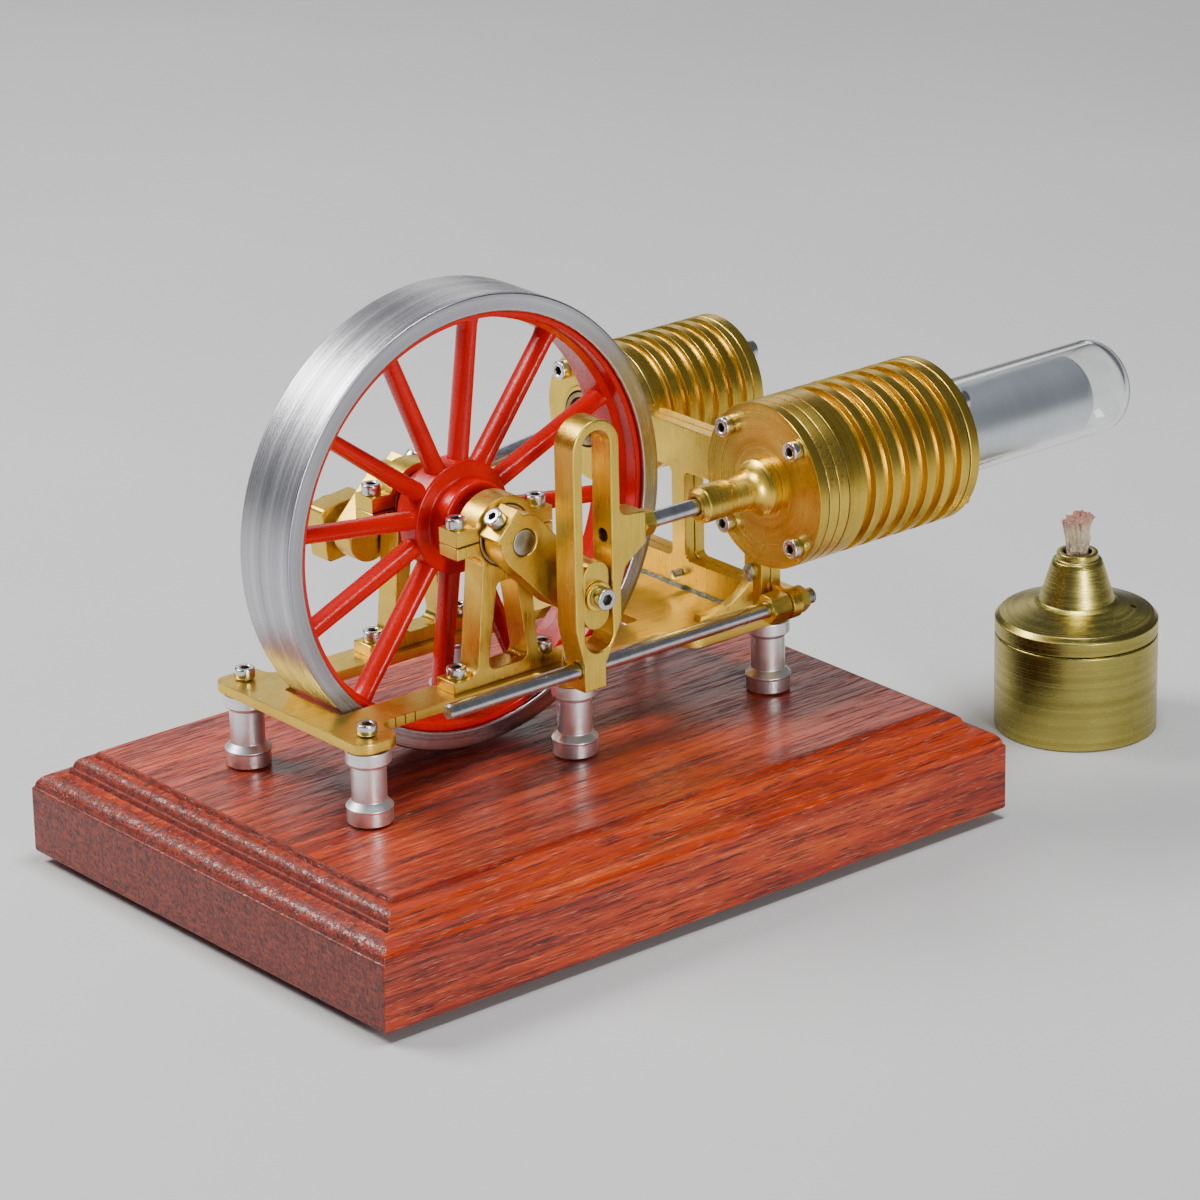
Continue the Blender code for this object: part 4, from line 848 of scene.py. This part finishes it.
def make_yoke():
    half = 5.3
    foot = [(1.5, -27.9, 0.5), (1.5, -23.6, 3.0), (half, -16.0, 4.0), (half, -9.5, 3.0),
            (half + 1.2, -6.0, 2.2), (11.25, -2.8, 0.5), (11.25, 3.3, 0.5), (half, 3.9, 1.6),
            (half, 12.0, 0)]
    back = [(-half, 12.0, 0), (-half, -16.0, 5.0), (-3.5, -23.0, 3.0), (-3.5, -27.9, 0.5)]
    outline = fillet(foot, 6, closed=False) + arc((0, 22.9 - half), half, 0, 180, 40)
    outline += fillet(back, 6, closed=False)
    body = prism(outline, [slot_outline((0, 0), 3.25, 20.9, 28)], -29.2, -23.8, "Y", 0.28, 3)
    shifted(body, YOKE_X, 0, SHAFT)
    bore = [(0, 2.75), (1.35, 2.75), (1.35, 7.0), (1.55, 7.0), (1.55, 12.2), (0, 12.2)]
    body = boolean(body, lathe(bore, "X", (YOKE_X, DISP_Y, SHAFT), 32))
    body = boolean(body, lathe(band(0, 1.65, -5, 3), "X", (YOKE_X, *GUIDE_YZ), 32))
    piece("yoke_frame", body, "brass_z", "yoke", (YOKE_X, DISP_Y, SHAFT))


def make_slider():
    pin_z = SHAFT + FRONT_PIN[1]
    hole = circle((YOKE_X, pin_z), 1.6, 36)
    block = prism(slot_outline((YOKE_X, pin_z), 2.95, 6.5, 24), [hole], -28.6, -23.0, "Y", 0.25)
    piece("block", block, "brass_y", "slider_block", (YOKE_X, -25.8, pin_z))
    axis_point = (YOKE_X, 0, pin_z)
    pin = [(0, -20.8), (2.2, -20.8), (2.2, -22.8), (1.5, -22.8), (1.5, -29.4), (2.05, -29.4),
           (2.05, -31.6), (0, -31.6)]
    shape = lathe(soft(pin, 0.22, 3), "Y", axis_point, 44)
    socket = 1.15
    shape = boolean(shape, prism(circle((YOKE_X, pin_z), socket, 6), [], -33.0, -30.3, "Y", 0))
    mark_recess(shape, axis_point, "Y", socket, -31.55, -30.25)
    piece("pin_front", shape, "steel_turned_y", "crank_pin_front", (YOKE_X, -26, pin_z))
    washer = soft(band(1.5, 2.8, -28.75, -29.38), 0.15)
    piece("pin_washer", lathe(washer, "Y", axis_point, 44), "brass_turned_y", "crank_pin_front",
          (YOKE_X, -29, pin_z), False)


def hexagon(span, centre_yz, across, hole, turn=0.0):
    """Hexagon nut along x with its corners taken off by a cone."""
    corner = across / math.sqrt(3)
    outer = [(centre_yz[0] + u, centre_yz[1] + v)
             for u, v in (polar(corner, turn + 60 * i) for i in range(6))]
    nut = prism(outer, [circle(centre_yz, hole, 28)], *span, "X", 0.08, 1)
    low, high = span
    narrow = corner - 0.35
    wide = corner + 0.25
    cone = [(0.5, low - 1), (narrow, low - 1), (narrow, low), (wide, low + 0.5),
            (wide, high - 0.5), (narrow, high), (narrow, high + 1), (0.5, high + 1)]
    return boolean(nut, lathe(cone, "X", (0, *centre_yz), 48), "INTERSECT")


def make_displacer_line():
    piece("lock_nut", hexagon((21.05, 23.6), DISP_YZ, 4.4, 1.6), "brass_x", "rod_lock_nut",
          (22.3, *DISP_YZ))
    rod = soft(band(0, 1.5, 16.9, 80.3))
    x_piece("rod", "displacer_rod", rod, DISP_YZ, 40, 48, "steel_turned_x")
    body = [(0, 80.6, 0), (1.6, 80.6, 0), (1.6, 77.3, 0), (7.5, 77.3, 0.5), (7.5, 129.3, 3.0),
            (0, 129.3, 0)]
    x_piece("displacer_can", "displacer", fillet(body, 9), DISP_YZ, 103, 96, "displacer")
    gland = soft([(1.6, 34.5), (2.5, 34.5), (3.45, 35.5), (3.45, 45.0)], 0.3, 4)
    for step in range(1, 15):
        t = step / 14
        gland.append((3.45 + 1.85 * t ** 2.2, 45.0 + 4.2 * t))
    gland += [(5.3, 50.85), (1.6, 50.85)]
    x_piece("gland", "rod_gland", gland, DISP_YZ, 42, 80, "brass_turned_x")


def make_guide_rod():
    """Rod under the yoke with a threaded end and its two nuts."""
    profile = [(0, -23.5), (1.2, -23.5), (1.5, -23.1), (1.5, 58.2)]
    x = 58.2
    while x < 62.1:
        profile += [(1.5, x), (1.5, x + 0.08), (1.12, x + 0.25), (1.5, x + 0.42)]
        x += 0.45
    profile += [(1.15, 62.6), (0, 62.6)]
    x_piece("guide_bar", "guide_rod", profile, GUIDE_YZ, 20, 40, "steel_turned_x")
    piece("guide_bar_nut_outer", hexagon((58.0, 60.2), GUIDE_YZ, 4.5, 1.55, 12), "brass_x",
          "guide_rod", (59, *GUIDE_YZ), False)
    piece("guide_bar_nut_inner", hexagon((51.2, 55.4), GUIDE_YZ, 5.1, 1.55, 4), "brass_x",
          "guide_nut", (53, *GUIDE_YZ))


# ---- cylinders and plates

def screw_places(radius, y):
    """Four screw centres round an axis at y, as (y, z)."""
    return [(y + u, SHAFT + v) for u, v in (polar(radius, angle) for angle in (45, 135, 225, 315))]


def plate_outline(with_ear):
    base = DECK_SEAT - SHAFT
    bar_top = 4.5
    small_leg = math.degrees(math.acos((24.0 - POWER_Y) / POWER_RADIUS))
    small_bar = 180 - math.degrees(math.asin(bar_top / POWER_RADIUS))
    large_bar = math.degrees(math.asin(bar_top / COOLER_RADIUS))
    large_leg = math.degrees(math.acos((-23.4 - DISP_Y) / COOLER_RADIUS))
    outline = [(-23.4, base), (24.0, base)]
    outline += arc((POWER_Y, 0), POWER_RADIUS, -small_leg, small_bar, 72)
    outline += arc((DISP_Y, 0), COOLER_RADIUS, large_bar, 360 - large_leg, 90)
    if with_ear:
        ear = 3.0
        outline.append((-23.4, -24.2 + ear))
        outline += arc((-26.9, -24.2), ear, 90, 270, 24)
    return outline


def plate_windows():
    first = math.degrees(math.acos((19.4 - POWER_Y) / POWER_RADIUS))
    last = 180 - math.degrees(math.asin(-4.2 / POWER_RADIUS))
    rear = [(1.9, -21.8, 1.2), (19.4, -21.8, 1.2)]
    rear += [(u, v, 0) for u, v in arc((POWER_Y, 0), POWER_RADIUS, 360 - first, last, 16)]
    rear.append((1.9, -4.2, 1.2))
    first = 360 + math.degrees(math.asin(-4.2 / COOLER_RADIUS))
    last = 360 - math.degrees(math.acos((-18.6 - DISP_Y) / COOLER_RADIUS))
    front = [(-1.9, -21.8, 1.2), (-1.9, -4.2, 1.2)]
    front += [(u, v, 0) for u, v in arc((DISP_Y, 0), COOLER_RADIUS, first, last, 16)]
    front.append((-18.6, -21.8, 1.2))
    return [fillet(rear, 5), fillet(front, 5)]


def make_plates():
    shared = [at_shaft(window) for window in plate_windows()]
    shared += [circle(DISP_YZ, 8.05, 64), circle(POWER_YZ, 6.6, 56)]
    front = prism(at_shaft(plate_outline(False)), shared, 53.15, 55.45, "X", 0.2)
    piece("plate_front", front, "brass_z", "support_plate_front", (54.3, 0, SHAFT))
    rear = prism(at_shaft(plate_outline(True)), shared + [circle(GUIDE_YZ, 1.6, 32)], 55.6, 57.95,
                 "X", 0.2)
    piece("plate_rear", rear, "brass_z", "support_plate_rear", (56.8, 0, SHAFT))
    screw_ring("power_screw", "support_plate_front", 53.15, screw_places(10.8, POWER_Y), 0, 23, -1)


def make_brace():
    """Curved brace on the front plate, slanting to the front, and a screw's tip beside it."""
    tip_x = 43.1
    outline = [(tip_x, DECK_SEAT), (53.4, DECK_SEAT), (53.4, 47.2)]
    outline += arc((tip_x, 50.5), 10.7, -18, -88, 30)
    brace = prism(outline, [], -17.5, -15.5, "Y", 0.2)
    for vert in brace.verts:
        vert.co.y -= 0.35 * (vert.co.x - tip_x)
    piece("plate_gusset", brace, "brass_x", "support_plate_front", (49, -19.8, 42), False)
    tip = [(0, 53.0), (0.8, 53.0)]
    for step in range(5):
        x = 52.8 - 0.36 * step
        tip += [(0.86, x), (0.6, x - 0.14), (0.86, x - 0.28)]
    tip += [(0.5, 50.9), (0, 50.9)]
    x_piece("plate_screw_tip", "support_plate_front", tip, (-0.6, SHAFT - 24.6), 52, 28,
            "steel_turned_x", False)


def make_solder():
    """Uneven fillet along the foot of the front plate and a lump on the brace."""
    rings = []
    for step in range(90):
        y = -18.6 + 38.2 * step / 89
        size = 0.62 + 0.30 * noise.noise((y * 0.8, 3.1, 0.4)) + 0.16 * noise.noise((y * 2.7, 1.0, 0.0))
        size = max(size, 0.25)
        ring = []
        for u, v in ((0.6, -0.2), (0.5, 0.9), (0.1, 0.75), (-0.55, 0.42), (-1.1, 0.12), (-1.3, -0.2)):
            jitter = 0.22 * noise.noise((y * 1.9, u * 3, v * 3))
            ring.append((53.1 + u * size + jitter, y, DECK_TOP + v * size * 1.1))
        rings.append(ring)
    piece("solder_bead", loft(rings), "solder", "support_plate_front", (53, 0, DECK_TOP), False,
          sharp=60)
    blob = bmesh.new()
    bmesh.ops.create_icosphere(blob, subdivisions=4, radius=1.0)
    for vert in blob.verts:
        vert.co *= 1 + 0.25 * noise.noise(vert.co * 1.7)
        vert.co *= Vector((0.8, 1.2, 1.7))
    centre = (52.7, -20.4, 47.0)
    piece("solder_blob", shifted(blob, *centre), "tinned", "support_plate_front", centre, False,
          sharp=60)


def grooved(radius, start, end, first, pitch, width, depth):
    """Outer side of a cylinder with six cooling grooves."""
    points = [(radius, start)]
    for index in range(6):
        left = first + pitch * index
        right = left + width
        points += [(radius, left), (radius - depth, left + 0.12), (radius - depth, right - 0.12),
                   (radius, right)]
    return points + [(radius, end)]


def make_front_cylinder():
    places = screw_places(13.2, DISP_Y)
    holes = [circle(DISP_YZ, 1.6, 32)] + [circle(p, 1.2, 24) for p in places]
    cover = prism(circle(DISP_YZ, COOLER_RADIUS, 144), holes, 50.9, 53.0, "X", 0.2)
    piece("cover_disc", cover, "brass_turned_x", "displacer_cover", (51.9, *DISP_YZ))
    for index, (y, z) in enumerate(places):
        screw("cover_cap_screw_%d" % (index + 1), "cover_screw_%d" % (index + 1), (50.85, y, z),
              "X", -1, length=6.5, spin=15 + 22 * index)
    cooler = grooved(COOLER_RADIUS, 58.15, 87.9, 62.3, 4.28, 2.1, 1.3)
    cooler += [(9.35, 87.9), (9.35, 69.7), (8.05, 69.7), (8.05, 58.15)]
    x_piece("cooler", "displacer_cooler", soft(cooler, 0.16), DISP_YZ, 73, 144, "brass_turned_x")
    flange = soft(band(9.2, COOLER_RADIUS, 88.2, 90.5), 0.25, 3)
    x_piece("tube_ring", "tube_flange", flange, DISP_YZ, 89.4, 144, "brass_turned_x")
    screw_ring("tube_ring_screw", "tube_flange", 90.5, places, 0, 27)
    shoulder = 134.5
    tube = [(0, shoulder + 5.0)]
    tube += [(8.05 * u, shoulder + 5.0 * v) for u, v in arc((0, 0), 1, 90, 0, 20)[1:]]
    tube += [(8.05, 70.1), (8.25, 70.0), (8.85, 70.0), (9.05, 70.1)]
    tube += [(9.05 * u, shoulder + 6.0 * v) for u, v in arc((0, 0), 1, 0, 90, 20)[:-1]]
    tube.append((0, shoulder + 6.0))
    x_piece("glass_tube", "hot_tube", tube, DISP_YZ, 105, 112, "clear_glass", sharp=80)


def make_gaskets():
    for name, y, low, high, bore, radius in (
            ("gasket_cover", DISP_Y, 53.0, 53.15, 9.0, 15.5),
            ("gasket_body", DISP_Y, 57.95, 58.15, 9.0, 15.45),
            ("gasket_tube", DISP_Y, 87.9, 88.2, 9.4, 15.35),
            ("gasket_power", POWER_Y, 57.95, 58.15, 7.0, 12.9),
            ("gasket_plates", DISP_Y, 55.45, 55.6, 9.0, 15.45)):
        x_piece(name, "displacer_cooler", band(bore, radius, low, high), (y, SHAFT), low, 96,
                "gasket", False)


def make_power_cylinder():
    body = grooved(POWER_RADIUS, 58.15, 82.4, 61.0, 3.6, 1.8, 0.9)
    body += [(5.5, 82.4), (5.5, 51.0), (6.5, 51.0), (6.5, 58.15)]
    x_piece("power_barrel", "power_cylinder", soft(body, 0.16), POWER_YZ, 70, 120,
            "brass_turned_x")
    head = soft(band(0, POWER_RADIUS, 82.5, 85.0), 0.25, 3)
    x_piece("power_cap", "power_head", head, POWER_YZ, 83.7, 120, "brass_turned_x")
    screw_ring("power_cap_screw", "power_head", 85.0, screw_places(10.8, POWER_Y), 11, 19)


def make_power_line():
    origin = (WRIST_X, *POWER_YZ)
    cup = soft([(0, 5.5), (4.2, 5.5), (4.2, -3.5), (5.2, -3.5), (5.2, 8.0), (0, 8.0)], 0.2)
    piece("piston_cup", lathe(cup, "X", origin, 64), "bronze", "piston", origin)
    pin = soft(band(0, 1.0, -4.9, 4.9), 0.15)
    piece("wrist", lathe(pin, "Y", origin, 28), "steel_turned_y", "wrist_pin", origin)
    tilt = math.degrees(math.asin(-REAR_PIN[1] / ROD_LENGTH))
    eye = prism(circle((0, 0), 2.4, 40), [circle((0, 0), 1.15, 32)], -2.2, 2.2, "Y", 0.2)
    rod = lathe(soft(band(0, 1.4, 2.7 - ROD_LENGTH, -1.9), 0.15), "X", (0, 0, 0), 40)
    rod = turned(boolean(eye, rod, "UNION"), tilt)
    piece("rod_power", shifted(rod, *origin), "steel_turned_x", "conrod", origin)
    low = 22.3 - POWER_Y
    high = 27.3 - POWER_Y
    block = prism(rounded((-5.3, -5.3), (5.3, 5.3), 1.0, 6), [circle((0, 0), 1.6, 36)], low, high,
                  "Y", 0.25)
    dome = soft([(1.6, high - 0.2), (5.2, high - 0.2), (4.6, high + 1.6), (1.6, high + 1.6)], 0.5, 4)
    block = boolean(block, lathe(dome, "Y", (0, 0, 0), 64), "UNION")
    block = boolean(block, lathe(band(0, 1.5, 2.4, 6.5), "X", (0, 0, 0), 36))
    block = turned(shifted(block, -ROD_LENGTH, 0, 0), tilt)
    x, z = REAR_PIN
    piece("big_end_block", shifted(block, *origin), "brass_y", "big_end", (x, POWER_Y, SHAFT + z))
    pin = [(0, 20.8), (2.2, 20.8), (2.2, 22.0), (1.5, 22.0), (1.5, 29.1), (2.4, 29.1), (2.4, 31.4),
           (1.2, 31.4), (1.1, 31.25), (1.1, 30.2), (0, 30.2)]
    shape = lathe(soft(pin, 0.2, 3), "Y", (x, 0, SHAFT + z), 44)
    piece("pin_rear", shape, "steel_turned_y", "crank_pin_rear", (x, 26, SHAFT + z))


# ---- burner

def make_burner():
    centre = BURNER
    cup = [(0, 0), (15.8, 0), (15.8, 19.35), (14.6, 19.35), (14.6, 1.5), (0, 1.5)]
    piece("burner_cup", lathe(soft(cup, 0.45, 4), "Z", centre, 144), "burner_turned",
          "burner_body", centre)
    lid = [(15.8, 19.5), (15.8, 22.2), (14.9, 23.2), (8.2, 25.3), (7.3, 25.9), (5.05, 33.2),
           (4.7, 34.0), (4.0, 34.3), (4.0, 35.6), (2.7, 35.6), (2.7, 22.0), (13.1, 21.0),
           (13.1, 17.0), (14.3, 17.0), (14.3, 19.5)]
    shape = lathe(soft(lid, 0.3, 3), "Z", centre, 144)
    vent = lathe(band(0, 0.6, 18, 28), "Z", (centre[0] + 7.4, centre[1] - 8.0, 0), 24)
    piece("burner_cap", boolean(shape, vent), "burner_turned", "burner_lid", centre)


def wick_strand(index, count):
    """One strand of the wick, leaning out and to its own side of the parting."""
    steps = 12
    start = 36.2
    reach = 1.95 * math.sqrt((index + 0.5) / count)
    x, y = polar(reach, index * 137.508)
    side = 1 if x - 0.4 * y > 0 else -1
    top = (42.6 if side > 0 else 42.0) + random.random() * 0.7 - abs(reach - 1.0) * 0.5
    thick = 0.42 + random.random() * 0.2
    sway = random.uniform(0, 360)
    rings = []
    for step in range(steps + 1):
        t = step / steps
        out = 1 + (0.38 + 0.2 * random.random() * t) * t * t
        wave_x, wave_y = polar(0.22 * math.sin(t * 4 + index), sway + 50 * t)
        z = start + (top - start) * math.sin(math.pi / 2 * min(1.0, t * 1.02))
        size = thick * math.sqrt(max(0.02, 1 - max(0.0, (t - 0.62) / 0.38) ** 2))
        middle = (x * out + wave_x + side * 0.55 * t * t, y * out + wave_y)
        rings.append([(u, v, z) for u, v in circle(middle, size, 8)])
    return loft(rings)


def make_wick():
    core = [(0, 3.0), (1.9, 3.0), (2.0, 4.0), (2.05, 36.2), (2.3, 38.2), (2.2, 39.6), (1.5, 40.8),
            (0, 41.2)]
    wick = lathe(soft(core, 0.4, 3), "Z", (0, 0, 0), 48)
    for vert in wick.verts:
        if vert.co.z > 36:
            bulge = 1 + 0.25 * noise.noise(vert.co * Vector((1.5, 1.5, 0.5)))
            vert.co *= Vector((bulge, bulge, 1))
    strands = [wick_strand(index, 64) for index in range(64)]
    piece("wick_bundle", shifted(join([wick, *strands]), *BURNER), "cotton", "wick", BURNER,
          sharp=70)


make_plinth()
make_deck()
make_posts()
make_stand("front", -14.9, -9.7)
make_stand("rear", 9.7, 14.9)
make_flywheel()
make_crank("front", *FRONT_CRANK, -20.5, -15.3)
make_crank("rear", *REAR_CRANK, 15.3, 20.5)
make_yoke()
make_slider()
make_displacer_line()
make_guide_rod()
make_plates()
make_brace()
make_solder()
make_front_cylinder()
make_gaskets()
make_power_cylinder()
make_power_line()
make_burner()
make_wick()


# ---- stage, light and camera

def make_stage():
    shape = bmesh.new()
    bmesh.ops.create_grid(shape, x_segments=8, y_segments=8, size=1.6)
    floor = linked("floor", mesh_of(shape, "floor"))
    g = Graph("floor_paper")
    grain = g.noise(900, 4.0, 0.6)
    tone = g.blend(g.noise(6, 3.0, 0.5), (0.50, 0.50, 0.50), (0.54, 0.54, 0.535))
    floor.data.materials.append(g.out(tone, 0.7, g.bump(grain, 0.06, 0.0003)))


def area_light(name, location, size, energy, colour):
    """Rectangular light aimed at the middle of the object."""
    data = bpy.data.lights.new(name, "AREA")
    data.shape = "RECTANGLE"
    data.size, data.size_y = size
    data.energy = energy
    data.color = colour
    lamp = linked(name, data)
    lamp.location = location
    aim = Vector((0.0, 0.0, 0.06)) - lamp.location
    lamp.rotation_euler = aim.to_track_quat("-Z", "Y").to_euler()


def make_lights():
    world = bpy.data.worlds.new("studio")
    bpy.context.scene.world = world
    world.use_nodes = True
    background = world.node_tree.nodes["Background"]
    background.inputs["Color"].default_value = (0.82, 0.88, 1.0, 1.0)
    background.inputs["Strength"].default_value = 0.13
    warm = (1.0, 0.98, 0.95)
    area_light("key", (-0.42, 0.55, 0.75), (0.45, 0.35), 13.0, warm)
    area_light("front", (-0.18, -0.95, 0.22), (0.18, 0.36), 6.5, warm)
    area_light("top", (0.05, -0.12, 0.95), (0.3, 0.26), 8.0, (0.96, 0.98, 1.0))
    area_light("back", (0.62, 0.85, 0.45), (0.5, 0.3), 0.7, warm)


def make_camera():
    data = bpy.data.cameras.new("camera")
    data.sensor_width = 36.0
    data.lens = 157.73
    data.clip_start = 0.05
    data.clip_end = 20.0
    azimuth = math.radians(-39.407)
    elevation = math.radians(20.867)
    roll = math.radians(-1.135)
    level = math.cos(elevation)
    back = Vector((math.sin(azimuth) * level, -math.cos(azimuth) * level, math.sin(elevation)))
    right = (-back).cross(Vector((0, 0, 1))).normalized()
    up = right.cross(-back)
    side = math.cos(roll) * right + math.sin(roll) * up
    top = -math.sin(roll) * right + math.cos(roll) * up
    camera = linked("camera", data)
    turn = Matrix((side, top, back)).transposed().to_4x4()
    camera.matrix_world = Matrix.Translation((-0.58636, -0.70185, 0.38869)) @ turn
    bpy.context.scene.camera = camera


make_stage()
make_lights()
make_camera()
